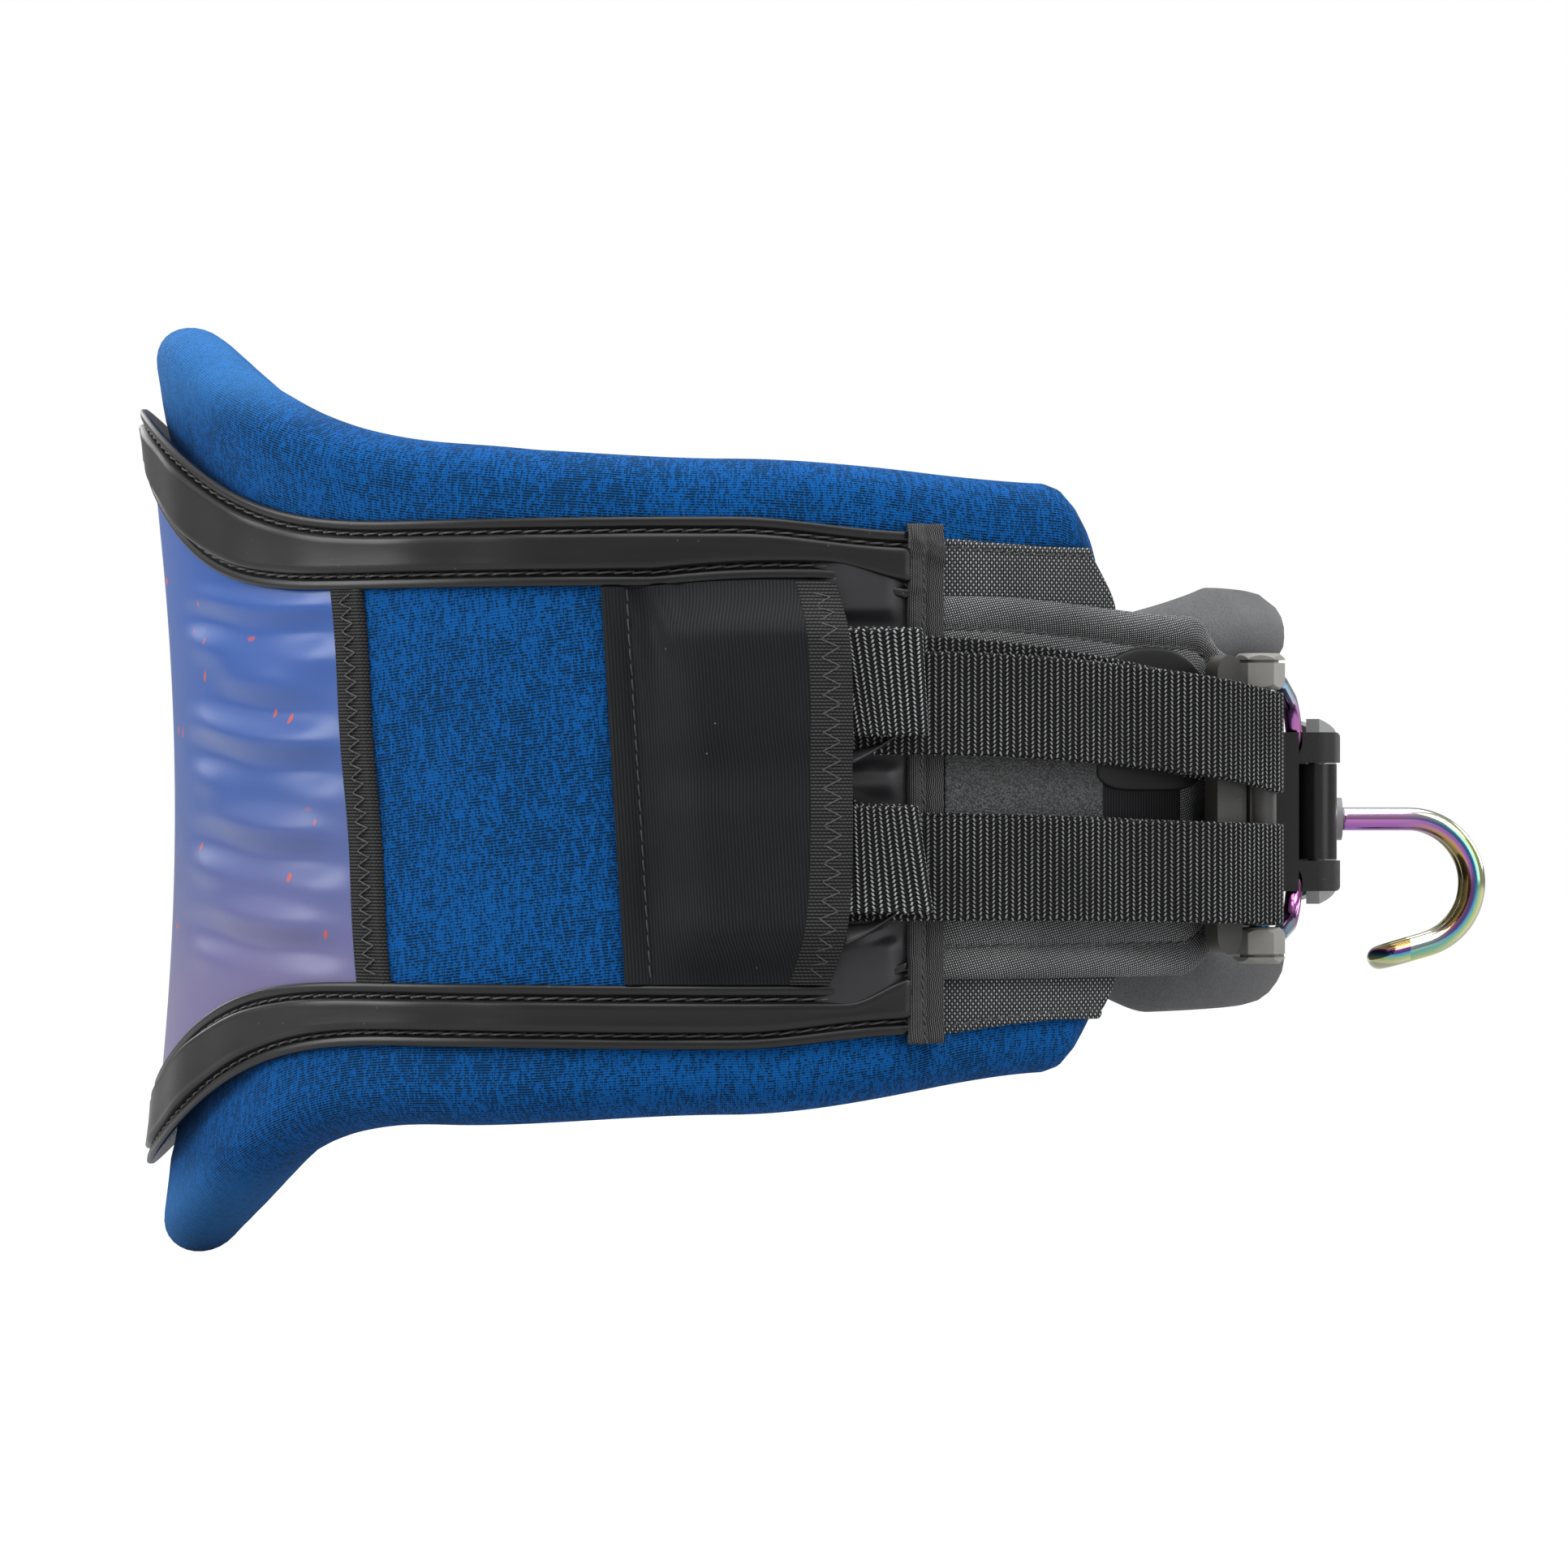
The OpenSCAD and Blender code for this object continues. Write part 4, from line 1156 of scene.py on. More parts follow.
def seat_piece(piece: bpy.types.Object, finish: Finish, *nodes: str, body: str = "harness") -> bpy.types.Object:
    """Puts a finished piece on its body and hides the CAD nodes it stands for.

    Args:
        piece: The finished piece.
        finish: What it wears.
        *nodes: The CAD nodes that it stands for.
        body: The body it rides on.

    Returns:
        The piece.
    """
    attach(piece, body)
    if nodes:
        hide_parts(*nodes)
    LOG.info("%s: %d faces, %s", piece.name, len(piece.data.polygons), finish.name)
    return piece


def fine_edges(count: int, rim: float = 0.02) -> list[float]:
    """Shares from 0 to 1 with extra ones near both ends, for a rounded rim."""
    inner = [rim + (1 - 2 * rim) * i / count for i in range(count + 1)]
    return [0.0, rim * 0.12, rim * 0.4] + inner + [1 - rim * 0.4, 1 - rim * 0.12, 1.0]


@dataclass(frozen=True)
class Patch:
    """A panel on the waist wall between two edges whose angles may change with height."""

    first: Heights
    last: Heights
    low: Heights
    high: Heights
    inner: float
    face: Offsets
    across: int = 40
    rows: int = 40
    rim: float = 0.02
    drop: float = 0.5

    def cut(self, side: Side) -> Cut:
        """Cuts the panel.

        Args:
            side: The side of the wearer it is on.

        Returns:
            The cut.
        """
        outer, inner = [], []
        shares = fine_edges(self.across, self.rim)
        steps = fine_edges(self.rows, self.rim)
        for s in shares:
            line_out, line_in = [], []
            for t in steps:
                mid = WAIST.middle_z
                near = self.first(mid) + (self.last(mid) - self.first(mid)) * s
                z = self.low(near) + (self.high(near) - self.low(near)) * t
                a = self.first(z) + (self.last(z) - self.first(z)) * s
                z = self.low(a) + (self.high(a) - self.low(a)) * t
                edge = min(s, 1 - s, t, 1 - t) / self.rim
                d = self.face(a, z) - self.drop * (1 - math.sqrt(max(0.0, 1 - (1 - min(1.0, edge)) ** 2)))
                line_out.append(WAIST.point(side.value * a, d, z))
                line_in.append(WAIST.point(side.value * a, self.inner, z))
            outer.append(line_out)
            inner.append(line_in)
        return Cut().slab(outer, inner)


# ---------------------------------------------------------------- geometry nodes


class Growth(Nodes):
    """A Geometry Nodes tree with named sizes and a finish."""

    def __init__(self, name: str, **sizes: float) -> None:
        """Starts a tree.

        Args:
            name: The tree's name.
            **sizes: Its named sizes, with _ for a space, in metres.
        """
        super().__init__(bpy.data.node_groups.new(name, "GeometryNodeTree"))
        self.names: dict[str, str] = {}
        self._socket("Geometry", "Geometry")
        self.tree.interface.new_socket(name="Geometry", in_out="OUTPUT", socket_type="NodeSocketGeometry")
        for key, value in sizes.items():
            self._socket(key.replace("_", " ").title(), "Float").default_value = value
        self._socket("Finish", "Material")
        self.entry = self.node("NodeGroupInput", {}, {})
        self.exit = self.node("NodeGroupOutput", {}, {})

    def _socket(self, name: str, kind: str) -> bpy.types.NodeTreeInterfaceSocket:
        """Adds a named input and keeps its identifier.

        Args:
            name: The input's name.
            kind: The socket's type.

        Returns:
            The input's identifier.
        """
        made = self.tree.interface.new_socket(name=name, in_out="INPUT", socket_type=f"NodeSocket{kind}")
        self.names[name] = made.identifier
        return made

    def given(self, name: str) -> Wire:
        """The group input of that name."""
        return self.out(self.entry, name)

    def stored(self, name: str, kind: str) -> Wire:
        """A named attribute of the source."""
        return self.out(self.node("GeometryNodeInputNamedAttribute", {"data_type": kind}, {0: name}))

    def add(self, kind: str, inputs: dict, **settings: str) -> Wire:
        """A node's first output."""
        return self.out(self.node(kind, settings, inputs))

    def close(self, geometry: Wire) -> None:
        """Ends the tree: real geometry, smooth, in its finish.

        Args:
            geometry: The tree's last geometry.
        """
        real = self.add("GeometryNodeRealizeInstances", {0: geometry})
        smooth = self.add("GeometryNodeSetShadeSmooth", {0: real})
        worn = self.add("GeometryNodeSetMaterial", {0: smooth, 2: self.given("Finish")})
        self.tree.links.new(worn.socket, self.exit.inputs[0])

    def grow(self, source: bpy.types.Object, finish: Finish, **sizes: float) -> bpy.types.Object:
        """Runs the tree on an object and leaves the result as its plain mesh.

        Args:
            source: The object that carries the seam or the band.
            finish: What the result wears.
            **sizes: The named sizes, with _ for a space.

        Returns:
            The same object with its new mesh.
        """
        modifier = source.modifiers.new("growth", "NODES")
        modifier.node_group = self.tree
        for key, value in sizes.items():
            modifier[self.names[key.replace("_", " ").title()]] = value
        modifier[self.names["Finish"]] = finish.material()
        bpy.context.view_layer.update()
        graph = bpy.context.evaluated_depsgraph_get()
        mesh = bpy.data.meshes.new_from_object(source.evaluated_get(graph))
        source.modifiers.remove(modifier)
        source.data = mesh
        return source


class Sewing(Growth):
    """Stitches along a seam: bowed lengths of thread, each dipping into the cloth at both ends."""

    def __init__(self) -> None:
        """Builds the tree."""
        super().__init__(
            "sewing", pitch=0.005, length=0.004, radius=0.0004, rise=0.0004, sink=0.0006,
            slant_a=0.0, slant_b=0.0,
        )
        curve = self.add("GeometryNodeMeshToCurve", {0: self.given("Geometry")})
        dots = self.node("GeometryNodeCurveToPoints", {"mode": "LENGTH"}, {0: curve, 2: self.given("Pitch")})
        turn = self.add(
            "FunctionNodeAxesToRotation", {0: self.out(dots, 1), 1: self.stored("up", "FLOAT_VECTOR")},
            primary_axis="X", secondary_axis="Z",
        )
        ring = self.add("GeometryNodeCurvePrimitiveCircle", {0: 6, 4: self.given("Radius")}, mode="RADIUS")
        both = self.node("GeometryNodeGeometryToInstance", {}, {})
        for slant in ("Slant B", "Slant A"):
            self.tree.links.new(self._stitch(slant, ring).socket, both.inputs[0])
        odd = self.math("MODULO", self.add("GeometryNodeInputIndex", {}), 2.0)
        self.close(self.add(
            "GeometryNodeInstanceOnPoints",
            {0: self.out(dots), "Instance": self.out(both), "Pick Instance": True, "Instance Index": odd,
             "Rotation": turn},
        ))

    def _stitch(self, slant: str, ring: Wire) -> Wire:
        """One stitch as a mesh.

        Args:
            slant: The input that gives how far its ends lie to the sides.
            ring: The thread's round section.

        Returns:
            The stitch's geometry.
        """
        half, left = self.given("Length") * 0.5, self.given(slant) * 0.5
        down, peak = self.given("Sink") * -1.0, self.given("Rise") * 2.0
        ends = [
            self.add("ShaderNodeCombineXYZ", {0: x, 1: y, 2: z})
            for x, y, z in ((half * -1.0, left * -1.0, down), (0.0, 0.0, peak), (half, left, down))
        ]
        bow = self.add("GeometryNodeCurveQuadraticBezier", {0: 6, 1: ends[0], 2: ends[1], 3: ends[2]})
        return self.add("GeometryNodeCurveToMesh", {"Curve": bow, "Profile Curve": ring, "Fill Caps": True})


class Ribbing(Growth):
    """Ribs across a band, raised along its skin from the lengths stored on it."""

    def __init__(self) -> None:
        """Builds the tree."""
        super().__init__("ribbing", pitch=0.002, height=0.0003)
        phase = self.stored("along", "FLOAT") / self.given("Pitch") * math.pi
        crest = self.math("ABSOLUTE", self.math("COSINE", phase)) - 0.6
        normal = self.add("GeometryNodeInputNormal", {})
        shift = self.add(
            "ShaderNodeVectorMath", {0: normal, "Scale": crest * self.given("Height")}, operation="SCALE"
        )
        self.close(self.add("GeometryNodeSetPosition", {0: self.given("Geometry"), "Offset": shift}))


@dataclass
class Seamstress:
    """Sews runs of stitches along lines of points on the wall."""

    sewing: Sewing
    ribbing: Ribbing

    def run(
        self, name: str, runs: Sequence[Sequence[tuple[Vector, Vector]]], finish: Finish, body: str = "harness",
        **sizes: float,
    ) -> bpy.types.Object:
        """Sews one or more seams as one piece.

        Args:
            name: The piece's name.
            runs: For each seam, its points and outward directions, in millimetres.
            finish: The thread.
            body: The body it rides on.
            **sizes: Sizes of the stitches, in millimetres.

        Returns:
            The stitches.
        """
        points, edges, ups = [], [], []
        for line in runs:
            start = len(points)
            points.extend(p * MM for p, _ in line)
            ups.extend(up for _, up in line)
            edges.extend((start + i, start + i + 1) for i in range(len(line) - 1))
        mesh = bpy.data.meshes.new(name)
        mesh.from_pydata(points, edges, [])
        store = mesh.attributes.new("up", "FLOAT_VECTOR", "POINT")
        store.data.foreach_set("vector", [n for up in ups for n in up])
        piece = bpy.data.objects.new(name, mesh)
        bpy.context.scene.collection.objects.link(piece)
        self.sewing.grow(piece, finish, **{key: value * MM for key, value in sizes.items()})
        return seat_piece(piece, finish, body=body)


def wall_line(side: Side, angles: Sequence[float], z: Heights, d: Offsets) -> list[tuple[Vector, Vector]]:
    """A line on the wall round the waist, with its outward directions.

    Args:
        side: The side of the wearer.
        angles: Angles along the line.
        z: Height at an angle.
        d: Offset at an angle and height.

    Returns:
        Points and directions.
    """
    return [WAIST.spot(side.value * a, d(a, z(a)), z(a)) for a in angles]


# ---------------------------------------------------------------- soft pieces


@dataclass(frozen=True)
class Lining:
    """The padded lining, one piece round the waist, with lips that roll out above and below the trims."""

    bulge: float = 6.0
    lip: float = 1.3
    crease: float = 1.9
    round_z: float = 12.5
    step: float = 1.2
    crests: tuple[int, int, int] = (8, 40, 71)

    def section(self, angle: float, thin: float) -> list[tuple[float, float]]:
        """The lining's section at an angle.

        Args:
            angle: Degrees from the middle of the back.
            thin: Share of the full size, less than 1 near the two ends.

        Returns:
            Offsets and heights, going once round.
        """
        a = abs(angle)
        high, low = WAIST.lining_hi(a), WAIST.lining_lo(a)
        inside, outside = WAIST.lining_in - 4 * hill(a, 60, 1), WAIST.lining_out
        top, bottom = WAIST.upper_hi(a), WAIST.lower_lo(a)
        swell = self.bulge * (1 - 0.6 * ease(a, 104, 112)) * (0.15 + 0.85 * ease(a, 18, 45))

        def face(z: float) -> float:
            """Offset of the outer face at a height: it fills the space behind each trim's free edge.

            Args:
                z: Height.

            Returns:
                The offset.
            """
            roll = ease(z, top - 11, top - 1.5) + 1 - ease(z, bottom + 1.5, bottom + 11)
            over = ease(z, top, top + 14) + 1 - ease(z, bottom - 14, bottom)
            fold = hill(high - 7 - z, 3, 1) + hill(z - low - 7, 3, 1)
            lip = self.lip * over * hill(a, 80, 1) * ease(a, 10, 40)
            return outside + swell * roll + lip - self.crease * fold * hill(a - 24, 12, 1)

        def back(z: float) -> float:
            """Offset of the inner face at a height."""
            return inside - 1.5 * math.sin(math.pi * (z - low) / (high - low)) + 0.6

        points = []
        for t in range(0, 181, 12):
            c, s = math.cos(math.radians(180 - t)), math.sin(math.radians(t))
            near, far = back(high - self.round_z), face(high - self.round_z)
            points.append(((near + far) / 2 + (far - near) / 2 * c, high - self.round_z * (1 - s ** 0.9)))
        for i in range(1, 48):
            z = high - self.round_z - (high - low - 2 * self.round_z) * i / 48
            points.append((face(z), z))
        for t in range(0, 181, 12):
            c, s = math.cos(math.radians(t)), math.sin(math.radians(t))
            near, far = back(low + self.round_z), face(low + self.round_z)
            points.append(((near + far) / 2 + (far - near) / 2 * c, low + self.round_z * (1 - s ** 0.9)))
        for i in range(1, 32):
            z = low + self.round_z + (high - low - 2 * self.round_z) * i / 32
            points.append((back(z), z))
        if thin < 1:
            mid_d, mid_z = (inside + outside) / 2, (high + low) / 2
            squeeze = 1 - (1 - thin) * 0.12
            points = [(mid_d + (d - mid_d) * thin, mid_z + (z - mid_z) * squeeze) for d, z in points]
        return points

    def build(self) -> None:
        """Makes the lining."""
        end = WAIST.lining_end
        angles = [(a, 1.0) for a in spread(-end + 1.6, end - 1.6, self.step)]
        caps = [(end - 1.6 + 2.4 * math.sin(t), math.cos(t)) for t in (0.3, 0.6, 0.9, 1.15, 1.35, 1.5)]
        angles = [(-a, thin) for a, thin in reversed(caps)] + angles + caps
        rings = [
            [self._point(angle, d, z) for d, z in self.section(angle, thin)]
            for angle, thin in angles
        ]
        nodes = ("lining_back", "lining_right", "lining_left")
        Cut().loft(rings, crests=self.crests).wear("padded_lining", KNIT, *nodes, fill=0.7)

    def _point(self, angle: float, d: float, z: float) -> Vector:
        """A point of the lining, with the slight unevenness of glued foam.

        Args:
            angle: Degrees from the middle of the back.
            d: Offset from the wall.
            z: Height.

        Returns:
            The point.
        """
        point = WAIST.point(angle, d, z)
        uneven = noise.noise(point * 0.035) * 0.5 + noise.noise(point * 0.11) * 0.18
        return point + WAIST.outward(angle) * uneven


@dataclass(frozen=True)
class BackShell:
    """The stiff back shell's film, and the ribbons over its two seams."""

    ribbon: float = 12.0
    degree: float = 2.93
    dent: float = 2.1

    def face(self, angle: float, z: float) -> float:
        """Offset of the film, with soft dents that run round from the seams.

        Args:
            angle: Degrees from the middle of the back.
            z: Height.

        Returns:
            The offset.
        """
        a = abs(angle)
        reach = ease(a, 14, 30) * (1 - ease(a, 44, 52))
        wave = math.sin(z / 22 * 2 * math.pi + 2.0 * math.sin(z * 0.031) + a * 0.06 + 0.7 * math.sin(a * 0.21))
        wave += 0.5 * math.sin(z / 13.5 * 2 * math.pi + a * 0.1)
        fade = ease(z, 82, 100) * (1 - ease(z, 192, 206))
        crown = 1.2 * hill(a, 60, 1) * math.sin(math.pi * max(0.0, min(1.0, (z - 60) / 160)))
        return self.dent * reach * wave * fade * 0.62 - crown * 0.4

    def build(self, sewer: Seamstress) -> None:
        """Makes the film and both ribbons with their stitches.

        Args:
            sewer: Who sews.
        """
        film = Patch(
            first=lambda z: -WAIST.seam(z), last=WAIST.seam,
            low=lambda a: WAIST.lower_hi(a) - 7, high=lambda a: WAIST.upper_lo(a) + 7,
            inner=-WAIST.film, face=self.face, across=130, rows=90, rim=0.006, drop=0.3,
        )
        film.cut(Side.LEFT).wear("back_shell_film", FILM, "shell_skin")
        half = self.ribbon / 2 / self.degree
        for side in Side:
            cut = Patch(
                first=lambda z: self.middle(z) - half, last=lambda z: self.middle(z) + half,
                low=lambda a: WAIST.lower_hi(a) - 2.5, high=lambda a: WAIST.upper_lo(a) + 2.5,
                inner=0.1, face=self.ribbon_face, across=16, rows=60, rim=0.05, drop=0.9,
            ).cut(side)
            cut.wear(f"seam_ribbon_{side.word}.cloth", ELASTIC, f"seam_ribbon_{side.word}")
            line = [WAIST.spot(side.value * self.middle(z), 1.75, z) for z in spread(90, 197, 3)]
            sewer.run(
                f"seam_ribbon_{side.word}.zigzag", [line], RIBBON_THREAD,
                pitch=2.1, length=2.1, radius=0.24, rise=0.25, sink=0.3, slant_a=4.2, slant_b=-4.2,
            )

    def middle(self, z: float) -> float:
        """Angle of the ribbon's middle at a height."""
        return WAIST.seam(z) + 0.12 * math.sin(z * 0.11)

    def ribbon_face(self, angle: float, z: float) -> float:
        """Offset of the ribbon, with a low welt along its front edge."""
        across = (angle - self.middle(z)) * self.degree
        return 1.35 + 0.9 * math.exp(-(((across - 4.6) / 0.9) ** 2)) - 0.15 * math.cos(across * 1.2)


@dataclass(frozen=True)
class EdgeTrims:
    """The moulded rubber bands above and below, each with a raised middle and two sewn channels."""

    end: float = 105.9
    flange: float = 3.9
    ridge: float = 3.1

    def edges(self, band: Band) -> tuple[Heights, Heights]:
        """Heights of a band's bottom and top edges.

        Args:
            band: Which trim.

        Returns:
            The two heights.
        """
        if band is Band.UPPER:
            return WAIST.upper_lo, WAIST.upper_hi
        return WAIST.lower_lo, WAIST.lower_hi

    def section(self, low: float, high: float, angle: float) -> list[tuple[float, float]]:
        """The band's section.

        Args:
            low: Height of its bottom edge.
            high: Height of its top edge.
            angle: Degrees from the middle of the back.

        Returns:
            Offsets and heights, going once round.
        """
        f = self.flange
        mid = (low + high) / 2
        puff = self.ridge + 0.35 * math.sin(angle * 0.21) + 0.3 * math.sin(angle * 0.53 + 1.0)
        half = [
            (0.2, 0.0), (1.3, 0.0), (1.75, 0.3), (1.95, 0.9), (1.9, f - 1.5), (1.35, f - 1.0), (0.6, f - 0.6),
            (0.55, f + 0.4), (1.1, f + 0.65), (puff - 0.8, f + 0.8), (puff - 0.1, f + 1.2),
            (puff + 0.2, f + 1.9), (puff + 0.15, f + 3.2),
        ]
        top = [(d, high - drop) for d, drop in half]
        bottom = [(d, low + drop) for d, drop in reversed(half)]
        return top + [(puff + 0.05, mid)] + bottom

    def build(self, sewer: Seamstress) -> None:
        """Makes both bands and their stitches.

        Args:
            sewer: Who sews.
        """
        angles = spread(-self.end, self.end, 1.0)
        for band in Band:
            low, high = self.edges(band)
            rings = [
                [WAIST.point(a, d, z) for d, z in self.section(low(a), high(a), a)]
                for a in angles
            ]
            Cut().loft(rings).wear(f"{band.value}_trim.rubber", TRIM_RUBBER, f"{band.value}_trim")
            runs = []
            for edge, sign in ((high, -1), (low, 1)):
                height = lambda a, edge=edge, sign=sign: edge(a) + sign * (self.flange - 0.05)
                runs.append(wall_line(Side.LEFT, angles, height, lambda a, z: 0.85))
            sewer.run(
                f"{band.value}_trim.stitches", runs, THREAD,
                pitch=5.2, length=4.1, radius=0.36, rise=0.55, sink=0.45, slant_a=0.4, slant_b=0.4,
            )


@dataclass(frozen=True)
class SidePanels:
    """The knitted side panel and the smooth hip panel in front of it."""

    hip_end: float = 107.2
    slit_lip: float = 1.9

    def build(self) -> None:
        """Makes the four panels."""
        inner = WAIST.lining_out + WAIST.seat
        for side in Side:
            low, high = (lambda a: WAIST.lower_hi(a) - 6), (lambda a: WAIST.upper_lo(a) + 6)
            knit = Patch(
                first=lambda z: WAIST.seam(z) + 0.1, last=WAIST.pocket_rear, low=low, high=high,
                inner=inner, face=lambda a, z: 0.35 * noise.noise(Vector((a * 0.13, z * 0.03, 4.0))),
                across=60, rows=50, rim=0.008,
            )
            knit.cut(side).wear(f"side_panel_{side.word}.knit", PANEL_KNIT, f"side_panel_{side.word}")
            hip = Patch(
                first=lambda z: WAIST.pocket_rear(z) + 0.1, last=lambda z: self.hip_end, low=low, high=high,
                inner=inner, face=self.hip_face, across=70, rows=120, rim=0.008,
            )
            hip.cut(side).wear(f"hip_panel_{side.word}.rubber", HIP_RUBBER, f"hip_panel_{side.word}")
            for band in Band:
                self.lip(side, band).wear(f"hip_lip_{band.value}_{side.word}.rubber", HIP_RUBBER)

    def lip(self, side: Side, band: Band) -> Cut:
        """The lip that sweeps out of the pocket's mouth, over a strap and up behind its tail.

        Args:
            side: The side of the wearer.
            band: The strap it lies over.

        Returns:
            The cut.
        """
        low, rise = (149.2, 3.9) if band is Band.UPPER else (99.2, 5.4)
        face, under = [], []
        for i in range(25):
            t = i / 24
            a = 99.5 + 4.9 * t
            near = 4.3 + WAIST.lift(a)
            proud = near + 3.9 * (1 - ease(t, 0.0, 1.0)) + 0.4
            line = []
            for k in (0.0, 0.1, 0.3, 0.55, 0.8, 1.0):
                height = low + 9.2 * t ** 1.2 + rise * (1 - t) ** 1.6 * k ** 0.8
                line.append(WAIST.point(side.value * a, proud + (near - proud) * k, height))
            face.append(line)
            under.append([spot - WAIST.outward(side.value * a) * 0.5 - Vector((0, 0, 0.7)) for spot in line])
        return Cut().slab(face, under)

    def hip_face(self, angle: float, z: float) -> float:
        """Offset of the hip panel: it swells below each strap, where the strap comes out of it.

        Args:
            angle: Degrees from the middle of the back.
            z: Height.

        Returns:
            The offset.
        """
        swell = 0.0
        for band in Band:
            edge = Straps.height(angle, band) - 15.5
            fall = edge - 4.0 * (1 - ease(angle, 98.5, 103.5)) - z
            lip = ease(fall, 0.0, 1.6) * (1 - ease(fall, 3.0, 16.0))
            swell += self.slit_lip * lip * (1 - ease(angle, 101, 104.5))
        swell *= ease(angle, 91, 95)
        free = ease(z, 138.5, 144.5) * (1 - ease(z, 146.0, 151.0)) + ease(z, 188.5, 194) + 1 - ease(z, 97, 102)
        swell = max(swell, 2.4 * free * ease(angle, 96, 100) * (1 - ease(angle, 103.5, 106)))
        return swell + 0.2 * noise.noise(Vector((angle * 0.2, z * 0.05, 9.0))) - 0.15


@dataclass(frozen=True)
class StrapPocket:
    """The stretch-cloth cover over the strap ends, its bound mouth and its stitches."""

    binding: float = 3.5
    cloth: float = 1.2
    proud: float = 10.4

    def edge(self, angle: float, band: Band) -> float:
        """Height of the cover's top or bottom edge at an angle.

        Args:
            angle: Degrees from the middle of the back.
            band: Top or bottom.

        Returns:
            The height.
        """
        if band is Band.UPPER:
            return WAIST.upper_lo(angle) - 0.3
        return WAIST.lower_hi(angle) + 0.3

    def face(self, angle: float, z: float) -> float:
        """Offset of the cover: flat over each strap, low between them, drawn in at the edges.

        Args:
            angle: Degrees from the middle of the back.
            z: Height.

        Returns:
            The offset.
        """
        rear = WAIST.pocket_rear(z)
        rise = ease(angle, rear + 2.4, rear + 9.5)
        full = 1.5 + (self.proud - 1.5) * rise
        top, bottom = self.edge(angle, Band.UPPER), self.edge(angle, Band.LOWER)
        up = ease(z, bottom - 1.0, bottom + 17.0) * (1 - ease(z, top - 16.5, top + 1.5))
        valley = 1.1 * hill(z - 147, 13, 2) * rise
        hem = 0.7 * (1 - ease(angle, rear + 1.7, rear + 2.3)) - 0.45 * hill(angle - rear - 2.3, 1.1, 1)
        fade = hill(angle - rear - 4.6, 3.6, 1) * ease(z, top - 34, top - 8)
        pucker = 1.5 * fade * math.sin((angle - rear) * 1.35 + z * 0.16)
        uneven = 0.35 * noise.noise(Vector((angle * 0.16, z * 0.035, 2.0)))
        return 1.5 + (full - 1.5) * up - valley + hem + pucker + uneven * (0.3 + 0.7 * up)

    def shell(self, side: Side, first: Heights, last: Heights, extra: float, rows: int) -> Cut:
        """Cuts the cover between two angles, open towards the wall.

        Args:
            side: The side of the wearer.
            first: Rear angle at a height.
            last: Front angle at a height.
            extra: Added thickness, for the binding.
            rows: Number of strips round the waist.

        Returns:
            The cut.
        """
        outer, inner = [], []
        for s in fine_edges(rows, 0.03):
            near = first(140.0) + (last(140.0) - first(140.0)) * s
            top, bottom = self.edge(near, Band.UPPER), self.edge(near, Band.LOWER)
            rim = 1 - math.sqrt(max(0.0, 1 - (1 - min(1.0, min(s, 1 - s) / 0.03)) ** 2))
            line_out, line_in = [], []
            for t in fine_edges(80, 0.006):
                z = bottom + (top - bottom) * t
                a = first(z) + (last(z) - first(z)) * s
                puff = extra * (0.35 + 0.9 * math.sin(math.pi * s) + 0.12 * math.sin(z * 1.3))
                d = self.face(a, z) + puff
                line_out.append(WAIST.point(side.value * a, d - 0.45 * rim, z))
                under = max(0.35, d - self.cloth - 2 * extra)
                line_in.append(WAIST.point(side.value * a, min(under, d - 0.5) + 0.3 * rim, z))
            outer.append(line_out)
            inner.append(line_in)
        return Cut().slab(outer, inner)

    def build(self, sewer: Seamstress) -> None:
        """Makes both covers, bindings and stitches.

        Args:
            sewer: Who sews.
        """
        for side in Side:
            mouth = WAIST.pocket_mouth
            self.shell(side, WAIST.pocket_rear, lambda z: mouth(z) - 0.8, 0.0, 90).wear(
                f"strap_pocket_{side.word}.cloth", POCKET_CLOTH, f"strap_pocket_{side.word}"
            )
            half = self.binding / 2
            self.shell(side, lambda z: mouth(z) - half, lambda z: mouth(z) + half, 0.8, 18).wear(
                f"pocket_binding_{side.word}.elastic", ELASTIC, f"pocket_binding_{side.word}"
            )
            self.sew(side, sewer)

    def sew(self, side: Side, sewer: Seamstress) -> None:
        """Sews the rear seam and the zigzag on the binding.

        Args:
            side: The side of the wearer.
            sewer: Who sews.
        """
        rear, zigzag = [], []
        for z in spread(91, 197, 2.5):
            seams = ((rear, WAIST.pocket_rear(z) + 2.4, 0.1), (zigzag, WAIST.pocket_mouth(z), 1.05))
            for line, a, lift in seams:
                line.append(WAIST.spot(side.value * a, self.face(a, z) + lift, z))
        sewer.run(
            f"strap_pocket_{side.word}.stitches", [rear], CLOTH_THREAD,
            pitch=4.2, length=3.3, radius=0.25, rise=0.3, sink=0.3, slant_a=0.2, slant_b=0.2,
        )
        sewer.run(
            f"pocket_binding_{side.word}.zigzag", [zigzag], RIBBON_THREAD,
            pitch=2.6, length=2.7, radius=0.22, rise=0.22, sink=0.4, slant_a=5.2, slant_b=-5.2,
        )


